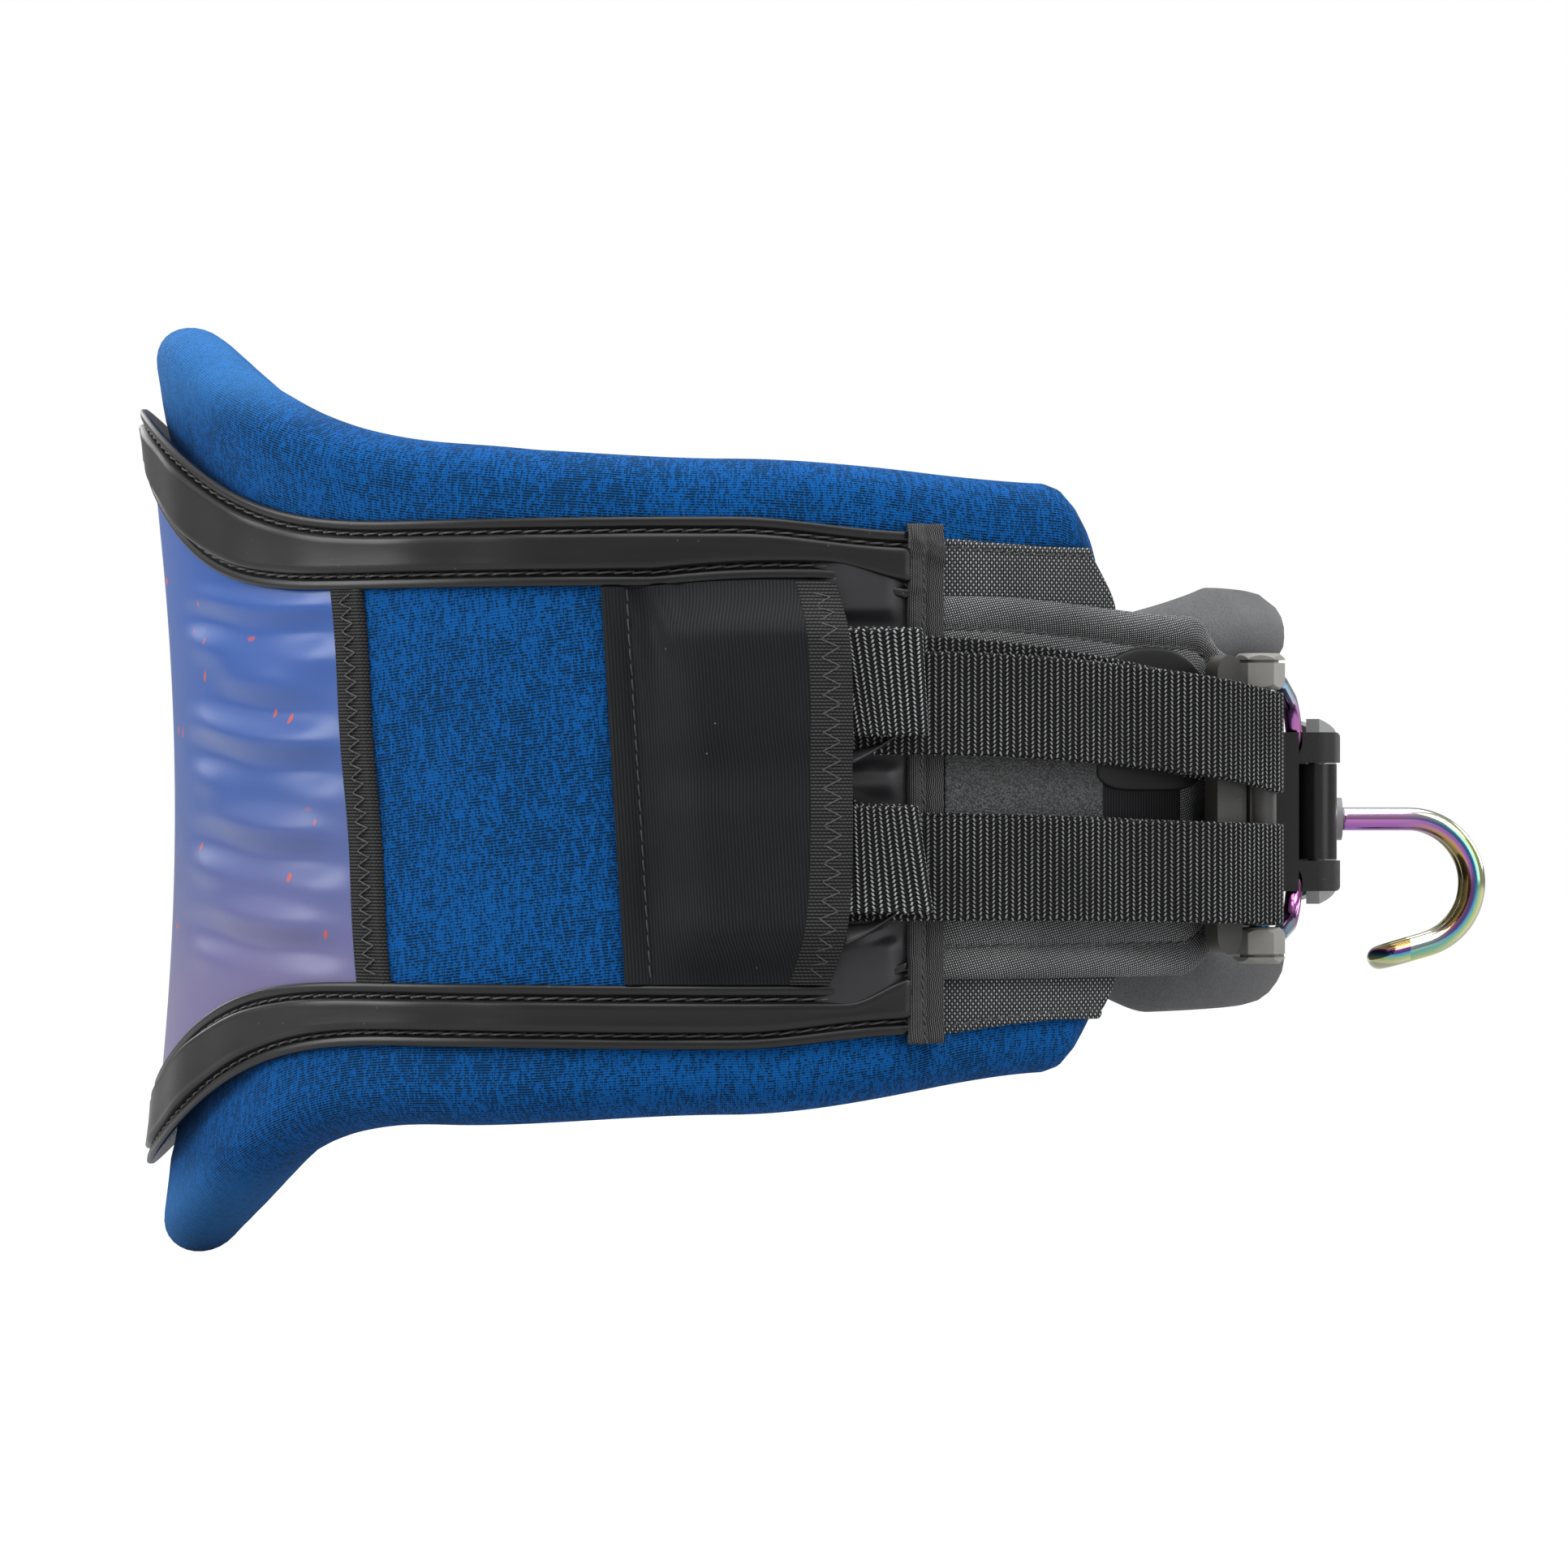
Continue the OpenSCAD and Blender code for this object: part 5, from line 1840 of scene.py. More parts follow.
@dataclass(frozen=True)
class FrontPanels:
    """What lies in front of the hip: binding, coarse wing, padded arm, grained panel and tab."""

    binding_first: float = 105.9
    binding_last: float = 108.7
    arm_end: float = 140.0
    arm_top: float = 196.0
    arm_bottom: float = 88.5
    arm_middle: float = 143.0
    grain_end: float = 124.4
    gap_end: float = 133.6
    tab_middle: float = 129.9
    tab_half: float = 6.3
    tab_low: float = 141.8
    tab_high: float = 183.0

    def build(self, sewer: Seamstress) -> None:
        """Makes the pieces of both sides.

        Args:
            sewer: Who sews.
        """
        for side in Side:
            self.binding(side, sewer)
            self.wing(side, sewer)
            self.arm(side, sewer)
            self.small(side)

    def binding(self, side: Side, sewer: Seamstress) -> None:
        """The ribbon that covers the front ends of trims and panels, with its folded end on top.

        Args:
            side: The side of the wearer.
            sewer: Who sews.
        """
        cut = Patch(
            first=lambda z: self.binding_first - 0.5, last=lambda z: self.binding_last,
            low=lambda a: WAIST.lower_lo(a) - 2.5, high=lambda a: WAIST.upper_hi(a) + 2.2,
            inner=0.1, face=self.binding_face, across=30, rows=110, rim=0.03, drop=0.9,
        ).cut(side)
        cut.wear(f"front_binding_{side.word}.ribbon", GROSGRAIN, f"front_binding_{side.word}")
        line = []
        for z in spread(72, 212, 2.5):
            a = self.binding_first + 0.75 + 0.15 * math.sin(z * 0.2)
            line.append(WAIST.spot(side.value * a, self.binding_face(a, z) + 0.05, z))
        sewer.run(
            f"front_binding_{side.word}.stitches", [line], RIBBON_THREAD,
            pitch=2.6, length=2.9, radius=0.24, rise=0.3, sink=0.25, slant_a=1.1, slant_b=0.9,
        )

    def binding_face(self, angle: float, z: float) -> float:
        """Offset of the binding: a cord behind, a flat ribbon in front and a lump at each end.

        Args:
            angle: Degrees from the middle of the back.
            z: Height.

        Returns:
            The offset.
        """
        over = ease(z, 196, 199) + 1 - ease(z, 93, 96)
        back = angle - self.binding_first
        cord = 1.5 * hill(back - 0.15, 0.95, 1) + 0.25 * math.sin(z * 1.9) * hill(back - 0.15, 0.9, 1)
        groove = 0.5 * hill(back - 1.15, 0.35, 1)
        step = 1.3 * over * (1 - ease(back, 0.1, 1.7))
        lump = hill(z - 212 + 1.2 * back, 4.5, 1) * (1.6 + 0.5 * math.sin(z * 2.1 + angle * 4))
        knot = 0.9 * hill(z - 71, 4, 1)
        return 1.35 + cord - groove + step + lump + knot + 0.12 * math.sin(z * 0.5) * (1 - ease(back, 0, 2))

    def wing_hi(self, angle: float) -> float:
        """Height of the wing's top edge."""
        return WAIST.lining_hi(min(angle, 121.0)) - 18.6

    def wing_lo(self, angle: float) -> float:
        """Height of the wing's bottom edge."""
        return WAIST.lining_lo(min(angle, 121.0)) + 15.5

    def wing_end(self, z: float) -> float:
        """Angle of the wing's front edge at a height."""
        return WAIST.lining_end + 0.9 - 3.4 * ease(z, 192, 216) - 2.4 * (1 - ease(z, 72, 90))

    def wing_face(self, angle: float, z: float) -> float:
        """Offset of the wing, with a hem along its top and bottom edges.

        Args:
            angle: Degrees from the middle of the back.
            z: Height.

        Returns:
            The offset.
        """
        under = WAIST.lining_out + WAIST.seat
        drop = min(self.wing_hi(angle) - z, z - self.wing_lo(angle))
        hem = 0.45 * (1 - ease(drop, 1.9, 2.5)) - 0.4 * hill(drop - 2.5, 1.0, 1)
        return under + 3.1 + 1.0 * math.sin(math.pi * ease(angle, 106, 127)) + hem

    def wing(self, side: Side, sewer: Seamstress) -> None:
        """The coarse cloth wing over the lining's front end.

        Args:
            side: The side of the wearer.
            sewer: Who sews.
        """
        cut = Patch(
            first=lambda z: self.binding_first + 2, last=self.wing_end,
            low=self.wing_lo, high=self.wing_hi, inner=WAIST.lining_out + WAIST.seat, face=self.wing_face,
            across=44, rows=150, rim=0.012, drop=1.6,
        ).cut(side)
        cut.wear(f"front_wing_{side.word}.cloth", BALLISTIC, f"front_wing_{side.word}")
        angles = spread(self.binding_last + 0.4, self.wing_end(210) - 0.4, 1.0)
        runs = [
            wall_line(side, angles, lambda a: self.wing_hi(a) - 2.4, lambda a, z: self.wing_face(a, z) + 0.1),
            wall_line(side, angles, lambda a: self.wing_lo(a) + 2.4, lambda a, z: self.wing_face(a, z) + 0.1),
        ]
        sewer.run(
            f"front_wing_{side.word}.stitches", runs, RIBBON_THREAD,
            pitch=3.2, length=3.1, radius=0.3, rise=0.35, sink=0.3, slant_a=0.9, slant_b=0.9,
        )

    def arm_hi(self, angle: float) -> float:
        """Height of the arm's top edge."""
        front = ease(angle, self.arm_end - 6, self.arm_end)
        return self.arm_top + 1.0 - 4.6 * ease(angle, 112, 134) - 11 * front ** 2

    def arm_lo(self, angle: float) -> float:
        """Height of the arm's bottom edge."""
        return self.arm_bottom + 9 * ease(angle, self.arm_end - 6, self.arm_end)

    def arm_section(self, angle: float) -> list[tuple[float, float]]:
        """Section of the padded arm: a big roll along each edge with a sewn channel inside it.

        Args:
            angle: Degrees from the middle of the back.

        Returns:
            Offsets and heights, going once round.
        """
        high, low = self.arm_hi(angle), self.arm_lo(angle)
        under = -3.6 - 6.4 * ease(angle, 127.2, 129.5)
        puff = 1.3 * math.sin(math.pi * ease(angle, 104, 143))
        roll = [
            (under * 0.75, 0.9), (under * 0.45, 0.15), (-0.9, 0.0), (-0.1, 0.35), (0.35, 1.2), (0.55, 2.6),
            (0.55, 4.2), (0.35, 5.8), (0.0, 7.2), (-0.35, 8.3), (-0.75, 9.0), (-0.8, 9.5), (-0.45, 10.0),
            (0.0, 11.0), (0.02, 14.0),
        ]
        lift = [puff * math.sin(math.pi * min(1.0, drop / 9.2)) if drop < 9.2 else 0.0 for _, drop in roll]
        face = [(d + up, drop) for (d, drop), up in zip(roll, lift)]
        top = [(d, high - drop) for d, drop in face]
        bottom = [(d, low + drop) for d, drop in reversed(face)]
        rows = [(0.02, high - 14 - (high - low - 28) * i / 12) for i in range(1, 12)]
        inner = [(under + 0.2, low + 1.4), (under, low + 3.0), (under, high - 3.0), (under + 0.2, high - 1.4)]
        return top + rows + bottom + inner

    def arm(self, side: Side, sewer: Seamstress) -> None:
        """The padded arm that carries the end of the bar.

        Args:
            side: The side of the wearer.
            sewer: Who sews.
        """
        angles = spread(self.binding_first + 2.0, self.arm_end - 0.8, 0.5)
        rings = [[self._arm_point(side, a, d, z) for d, z in self.arm_section(a)] for a in angles]
        last = self.arm_section(self.arm_end - 0.8)
        mid_d = sum(d for d, _ in last) / len(last)
        for t in (0.3, 0.6, 0.9, 1.15, 1.35, 1.5):
            a = self.arm_end - 0.8 + 1.3 * math.sin(t)
            size, draw = math.cos(t), 0.06 * (1 - math.cos(t))
            rings.append([
                self._arm_point(side, a, mid_d + (d - mid_d) * size, z + (self.arm_middle - z) * draw)
                for d, z in last
            ])
        Cut().loft(rings).wear(f"bar_arm_{side.word}.cloth", TWILL, f"bar_arm_{side.word}", fill=0.6)
        line = spread(self.binding_last + 0.5, self.arm_end - 1.0, 0.8)
        runs = [
            wall_line(side, line, lambda a: self.arm_hi(a) - 9.3, lambda a, z: -0.6),
            wall_line(side, line, lambda a: self.arm_lo(a) + 9.3, lambda a, z: -0.6),
        ]
        sewer.run(
            f"bar_arm_{side.word}.stitches", runs, RIBBON_THREAD,
            pitch=3.6, length=3.3, radius=0.3, rise=0.4, sink=0.3, slant_a=0.8, slant_b=0.8,
        )

    def _arm_point(self, side: Side, angle: float, d: float, z: float) -> Vector:
        """A point of the arm, with puckers along its seams and gathers at its front end.

        Args:
            side: The side of the wearer.
            angle: Degrees from the middle of the back.
            d: Offset from the wall.
            z: Height.

        Returns:
            The point.
        """
        near = min(abs(self.arm_hi(angle) - 9 - z), abs(self.arm_lo(angle) + 9 - z))
        pucker = 0.18 * math.exp(-((near / 4.0) ** 2)) * math.sin(angle * 4.4)
        gather = 0.45 * ease(angle, 133, 139) * math.sin(z * 0.9 + angle * 1.1) * ease(z, 178, 186)
        return WAIST.point(side.value * angle, d + (pucker + gather if d > -2.5 else 0.0), z)

    def small(self, side: Side) -> None:
        """The grained panel between the straps, a near-black patch of painted shadow in the gap in front of it,
        and the tab.

        Args:
            side: The side of the wearer.
        """
        Patch(
            first=lambda z: self.binding_last + 0.1, last=lambda z: self.grain_end,
            low=lambda a: Straps.height(a, Band.LOWER) + 13.2,
            high=lambda a: Straps.height(a, Band.UPPER) - 13.2,
            inner=0.1, face=lambda a, z: 1.0, across=24, rows=24, rim=0.02, drop=0.5,
        ).cut(side).wear(f"grain_panel_{side.word}.rubber", GRAIN, f"grain_panel_{side.word}")
        # Painted shadow: a near-black patch where the gap in front of the grained panel lies in shade.
        Patch(
            first=lambda z: self.grain_end - 0.1, last=lambda z: self.gap_end,
            low=lambda a: Straps.height(a, Band.LOWER) + 12.0,
            high=lambda a: Straps.height(a, Band.UPPER) - 12.0,
            inner=-0.6, face=lambda a, z: 0.35, across=24, rows=16, rim=0.02, drop=0.3,
        ).cut(side).wear(f"bar_arm_{side.word}.backing", PAINTED_SHADOW)

        def corner(angle: float, power: float) -> float:
            """How far the tab's rounded edge has fallen at an angle, from 0 to 1."""
            off = abs(angle - self.tab_middle) / (self.tab_half + 0.05)
            return 1 - math.sqrt(max(0.0, 1 - off ** power))

        Patch(
            first=lambda z: self.tab_middle - self.tab_half, last=lambda z: self.tab_middle + self.tab_half,
            low=lambda a: self.tab_low + 6 * corner(a, 4), high=lambda a: self.tab_high - 12 * corner(a, 2.2),
            inner=0.3, face=lambda a, z: 1.7, across=30, rows=24, rim=0.03, drop=0.7,
        ).cut(side).wear(f"strap_tab_{side.word}.rubber", TAB_RUBBER, f"strap_tab_{side.word}")


@dataclass(frozen=True)
class StrapPlace:
    """How one strap and its tail lie at the hip."""

    ride: float = 4.6
    tuck: float = 0.0
    tail_z: float = 172.5
    lean_rear: float = 0.20
    lean_front: float = 0.06


STRAP_PLACES = {
    Band.UPPER: StrapPlace(),
    Band.LOWER: StrapPlace(ride=1.4, tuck=8.0, tail_z=122.7, lean_rear=0.0, lean_front=0.15),
}


@dataclass(frozen=True)
class Straps:
    """The main straps, each one band round its strap plate's sleeve, and their folded tails."""

    width: float = 29.0
    thick: float = 1.8
    rib: float = 1.95
    rib_height: float = 0.42
    sleeve: float = 5.0
    start: float = 85.2
    tail_first: float = 91.0
    tail_fold: float = 105.2
    tail_loop: float = 2.6

    @staticmethod
    def height(angle: float, band: Band) -> float:
        """Middle height of a strap at an angle between hip and bar.

        Args:
            angle: Degrees from the middle of the back.
            band: Which strap.

        Returns:
            The height.
        """
        hip, bar = WAIST.strap_z[band.value]
        first, last = WAIST.strap_run
        return hip + (bar - hip) * max(0.0, min(1.0, (angle - first) / (last - first))) ** 2

    def plan(self, angle: float, d: float) -> Vector:
        """A plan point on the left side, at the wall's middle height."""
        point = WAIST.point(angle, d, WAIST.middle_z)
        return Vector((point.x, point.y, 0))

    def main_path(self) -> list[tuple[Vector, float, float]]:
        """The strap's path: plan points, their angle, and 1 on the inner layer or 0 on the outer.

        Returns:
            Plan points, each with its angle and layer.
        """
        seat, t = WAIST.seat, self.thick
        turn_r = self.sleeve + seat + t / 2
        rod_a, rod_d = WAIST.end_rod_angle, WAIST.end_rod_d

        def inner(a: float) -> float:
            """Offset of the inner layer."""
            return seat + t / 2 + WAIST.lift(a) * (1 - ease(a, 137, 142))

        def outer(a: float) -> float:
            """Offset of the outer layer."""
            low, high = 2 * seat + 1.5 * t + WAIST.lift(a), rod_d + turn_r
            return low + (high - low) * ease(a, 124, 135.5)

        path = [(self.plan(a, inner(a)), a, 1.0) for a in spread(self.start, rod_a, 0.25)]
        centre = self.plan(rod_a, rod_d)
        for t_deg in spread(168, 12, 6):
            turn = math.radians(t_deg + rod_a - 180)
            place = centre + turn_r * Vector((math.cos(turn), -math.sin(turn), 0))
            path.append((place, rod_a, t_deg / 180))
        path += [(self.plan(a, outer(a)), a, 0.0) for a in spread(rod_a, self.start, 0.25)]
        return path

    def tail_path(self) -> list[tuple[Vector, float, float]]:
        """The folded tail's path: out of the pocket, round a loose loop and back in.

        Returns:
            Plan points, each with its angle and layer.
        """
        mid, gap = 2 * self.thick + 3 * WAIST.seat + self.thick / 2, self.thick + WAIST.seat
        fold = (gap + self.tail_loop) / 2

        def outer(a: float) -> float:
            """Offset of the outer layer, which stands off where the loop opens."""
            return mid + WAIST.lift(a) + gap + self.tail_loop * ease(a, 99.5, 104.9)

        path = [
            (self.plan(a, mid + WAIST.lift(a)), a, 1.0) for a in spread(self.tail_first, self.tail_fold, 0.25)
        ]
        for t_deg in spread(80, -80, 10):
            a = self.tail_fold + 0.33 * fold * math.cos(math.radians(t_deg))
            d = mid + WAIST.lift(self.tail_fold) + fold - fold * math.sin(math.radians(t_deg))
            path.append((self.plan(a, d), a, 0.5))
        path += [(self.plan(a, outer(a)), a, 0.0) for a in spread(self.tail_fold, self.tail_first, 0.25)]
        return path

    def band(
        self, side: Side, path: Sequence[tuple[Vector, float, float]], height: Callable, width: float,
        lean: Callable[[float], float] = lambda a: 0.0,
    ) -> Cut:
        """Cuts a band of webbing along a plan path.

        Args:
            side: The side of the wearer.
            path: Plan points with angle and layer.
            height: Middle height for an angle and layer.
            width: The webbing's width.
            lean: How far the ribs lean back at an angle, as a slope.

        Returns:
            The cut, whose loft index gives the length along the band.
        """
        plan = self._evened([p for p, _, _ in path], [(a, k) for _, a, k in path])
        rings = []
        flip = side.value
        for i, (point, a, k) in enumerate(plan):
            ahead = plan[min(i + 1, len(plan) - 1)][0] - plan[max(i - 1, 0)][0]
            out = Vector((ahead.y, -ahead.x, 0)).normalized()
            z = height(a, k)
            back = (self.plan(a + 0.5, 0.0) - self.plan(a - 0.5, 0.0)).normalized() * lean(a)
            ring = []
            for s, w in self._profile(width):
                spot = point + out * s - back * w
                ring.append(Vector((spot.x, spot.y * flip, z + w)))
            rings.append(ring)
        return Cut().loft(rings)

    def _profile(self, width: float) -> list[tuple[float, float]]:
        """The webbing's section: offsets across its thickness and along its width.

        Args:
            width: The webbing's width.

        Returns:
            Offsets and places across the width, going once round.
        """
        t, w = self.thick / 2 * 0.86, width / 2
        up = [(t, -w + 1.1 + (2 * w - 2.2) * i / 9) for i in range(10)]
        top = [(t * 1.05, w - 0.6), (t * 0.75, w - 0.12), (0.0, w), (-t * 0.75, w - 0.12), (-t * 1.05, w - 0.6)]
        down = [(-s, z) for s, z in reversed(up)]
        bottom = [(-s, -z) for s, z in top]
        return up + top + down + bottom

    def _evened(
        self, points: Sequence[Vector], marks: Sequence[tuple[float, float]], step: float = 0.34,
    ) -> list[tuple[Vector, float, float]]:
        """The same path with points a fixed step apart, so that ribs come out even.

        Args:
            points: The path.
            marks: Each point's angle and layer.
            step: The step.

        Returns:
            Points with their angle and layer.
        """
        made, carry = [(points[0], *marks[0])], 0.0
        for (p, q), ((a, k), (b, m)) in zip(zip(points, points[1:]), zip(marks, marks[1:])):
            length = (q - p).length
            if length < 1e-6:
                continue
            at = step - carry
            while at <= length:
                s = at / length
                made.append((p.lerp(q, s), a + (b - a) * s, k + (m - k) * s))
                at += step
            carry = length - (at - step)
        for _ in range(6):
            made = [made[0]] + [
                ((x[0] + 2 * y[0] + z[0]) / 4, y[1], (x[2] + 2 * y[2] + z[2]) / 4)
                for x, y, z in zip(made, made[1:], made[2:])
            ] + [made[-1]]
        return made

    def webbing(self, name: str, cut: Cut, sewer: Seamstress, finish: Finish = WEBBING) -> bpy.types.Object:
        """Makes the band and raises its ribs.

        Args:
            name: The piece's name.
            cut: The band.
            sewer: Who raises the ribs.
            finish: What it wears.

        Returns:
            The band.
        """
        piece = cut.build(name, finish)
        mesh = piece.data
        along = [0.0] * len(mesh.vertices)
        layer = mesh.uv_layers["cut"].data
        for loop in mesh.loops:
            along[loop.vertex_index] = layer[loop.index].uv[0]
        mesh.attributes.new("along", "FLOAT", "POINT").data.foreach_set("value", along)
        sewer.ribbing.grow(piece, finish, pitch=self.rib * MM, height=self.rib_height * MM)
        stored = piece.data.attributes.get("along")
        if stored:
            piece.data.attributes.remove(stored)
        return piece

    def build(self, sewer: Seamstress) -> None:
        """Makes the four straps and the four tails.

        Args:
            sewer: Who raises the ribs.
        """
        main, tail = self.main_path(), self.tail_path()
        for side in Side:
            for band, place in STRAP_PLACES.items():

                def strap_z(a: float, k: float, band: Band = band, place: StrapPlace = place) -> float:
                    """Middle height of the strap; its inner layer rides high at the hip.

                    Args:
                        a: Degrees from the middle of the back.
                        k: 1 on the inner layer, 0 on the outer.
                        band: Which strap.
                        place: Where it lies.

                    Returns:
                        The height.
                    """
                    shift = place.ride * (1 - ease(a, 104, 139))
                    shift += place.tuck * (1 - ease(a, 96.5, 104.5))
                    return self.height(a, band) + shift * k

                def lean(a: float, place: StrapPlace = place) -> float:
                    """Slope of the tail's ribs at an angle."""
                    return place.lean_rear + (place.lean_front - place.lean_rear) * ease(a, 98, 106)

                strap, tail_name = f"{band.value}_strap_{side.word}", f"{band.value}_tail_{side.word}"
                piece = self.webbing(f"{strap}.webbing", self.band(side, main, strap_z, self.width), sewer)
                seat_piece(piece, WEBBING, strap, f"{band.value}_loop_{side.word}")
                cut = self.band(
                    side, tail, lambda a, k, place=place: place.tail_z + 0.6 * (k - 0.5), self.width + 1, lean,
                )
                # The tails wear the lighter copy of the webbing, which paints the extra light they catch.
                piece = self.webbing(f"{tail_name}.webbing", cut, sewer, LIT_TAIL_WEBBING)
                seat_piece(piece, LIT_TAIL_WEBBING, tail_name)


@dataclass(frozen=True)
class BarPad:
    """The moulded foam pad behind the bar, with its channel and the seats for the strap plates."""

    start: float = 128.0
    thick: float = 16.0
    under: float = 10.3
    flat: float = 9.0
    top: float = 202.0
    bottom: float = 77.0
    channel: float = 9.0

    def section(self, a: float) -> list[tuple[float, float]]:
        """The pad's section at an angle from the middle of the back, to the front and past it.

        Args:
            a: Degrees from the middle of the back.

        Returns:
            Offsets and heights, going once round.
        """
        to_front = 360 - a if a > 180 else a
        hi = self.top - 11 * (1 - max(0.0, min(1.0, (to_front - self.start - 2) / 20)))
        lo = self.bottom + 8 * (1 - ease(to_front, self.start - 2, self.start + 10))
        deep = self.channel
        t = self.thick
        front = [
            (-t + 1.2, hi - 0.5), (-t + 2.6, hi), (-t + 6, hi - 0.1), (-t + 8.6, hi - 0.8), (-5.2, hi - 2.6),
            (-2.6, hi - 4.6), (-0.9, hi - 7.4), (-0.1, hi - 10.5), (0.0, hi - 13.6), (-0.3, hi - 16.4),
            (-1.4, hi - 18.4), (-3.6, hi - 20.6), (-deep + 1.6, hi - 22.8), (-deep + 0.3, hi - 24.4),
            (-deep, hi - 27),
        ]
        back = [
            (-deep, lo + 27), (-deep + 0.3, lo + 24.4), (-deep + 1.6, lo + 22.8), (-3.6, lo + 20.6),
            (-1.4, lo + 18.4), (-0.3, lo + 16.6), (0.0, lo + 13.4), (-0.7, lo + 9.6), (-2.2, lo + 6.6),
            (-4.6, lo + 3.4), (-7.6, lo + 1.2), (-t + 5, lo + 0.2), (-t + 2.6, lo), (-t + 1.0, lo + 0.6),
        ]
        middle = [(-deep, hi - 27 - (hi - lo - 54) * i / 14) for i in range(1, 14)]
        inner = [(-t + 0.2, lo + 2.4)] + [(-t, lo + 5 + (hi - lo - 10) * i / 20) for i in range(21)]
        return front + middle + back + inner + [(-t + 0.2, hi - 2.4)]

    def build(self) -> None:
        """Makes the pad."""
        rings = []
        ends = [(self.start + 1.6 * (1 - math.cos(t)), math.sin(t)) for t in (0.15, 0.45, 0.8, 1.15)]
        angles = [(a, 1.0) for a in spread(self.start + 1.6, 360 - self.start - 1.6, 1.0)]
        angles = ends + angles + [(360 - a, k) for a, k in reversed(ends)]
        for a, share in angles:
            to_front = 360 - a if a > 180 else a
            face = WAIST.front_depth - self.under - self.flat * ease(to_front, 132, 180)
            wide = WAIST.waist_half - self.under
            turn = math.radians(a)
            ring = []
            for d, z in self.section(a):
                d = -self.thick / 2 + (d + self.thick / 2) * share
                z = 139.5 + (z - 139.5) * (0.965 + 0.035 * share)
                x, y = -(face + d) * math.cos(turn), (wide + d) * math.sin(turn)
                ring.append(Vector((x - WAIST.middle_x, y, z)))
            rings.append(ring)
        Cut().loft(rings).wear("bar_pad.foam", FOAM, "bar_pad", fill=0.9)


# ---------------------------------------------------------------- hardware and studio


@dataclass(frozen=True)
class Tube:
    """A round rod swept along a plan of points, with each bend rounded."""

    radius: float
    bend: float = 5.0
    sides: int = 36

    def round(self, corners: Sequence[Vector]) -> list[Vector]:
        """The path through the corners, with a curve in place of each inner one.

        Args:
            corners: The path's ends and corners.

        Returns:
            The rounded path.
        """
        path = [corners[0]]
        for before, here, after in zip(corners, corners[1:], corners[2:]):
            reach = min(self.bend, (here - before).length * 0.45, (after - here).length * 0.45)
            start, end = here + (before - here).normalized() * reach, here + (after - here).normalized() * reach
            for i in range(9):
                t = i / 8
                path.append(start * (1 - t) ** 2 + here * (2 * t * (1 - t)) + end * t ** 2)
        return path + [corners[-1]]

    def sweep(self, cut: Cut, path: Sequence[Vector]) -> Cut:
        """Adds the rod along a path to a cut.

        Args:
            cut: What the rod is added to.
            path: The rod's middle line.

        Returns:
            The cut.
        """
        ahead = [(b - a).normalized() for a, b in zip(path, path[1:])]
        turns = [ahead[0]] + [(a + b).normalized() for a, b in zip(ahead, ahead[1:])] + [ahead[-1]]
        side = turns[0].orthogonal().normalized()
        rings = []
        for point, turn in zip(path, turns):
            side = (side - turn * side.dot(turn)).normalized()
            other = turn.cross(side)
            rings.append([
                point + (side * math.cos(t) + other * math.sin(t)) * self.radius
                for t in (2 * math.pi * i / self.sides for i in range(self.sides))
            ])
        return cut.loft(rings)


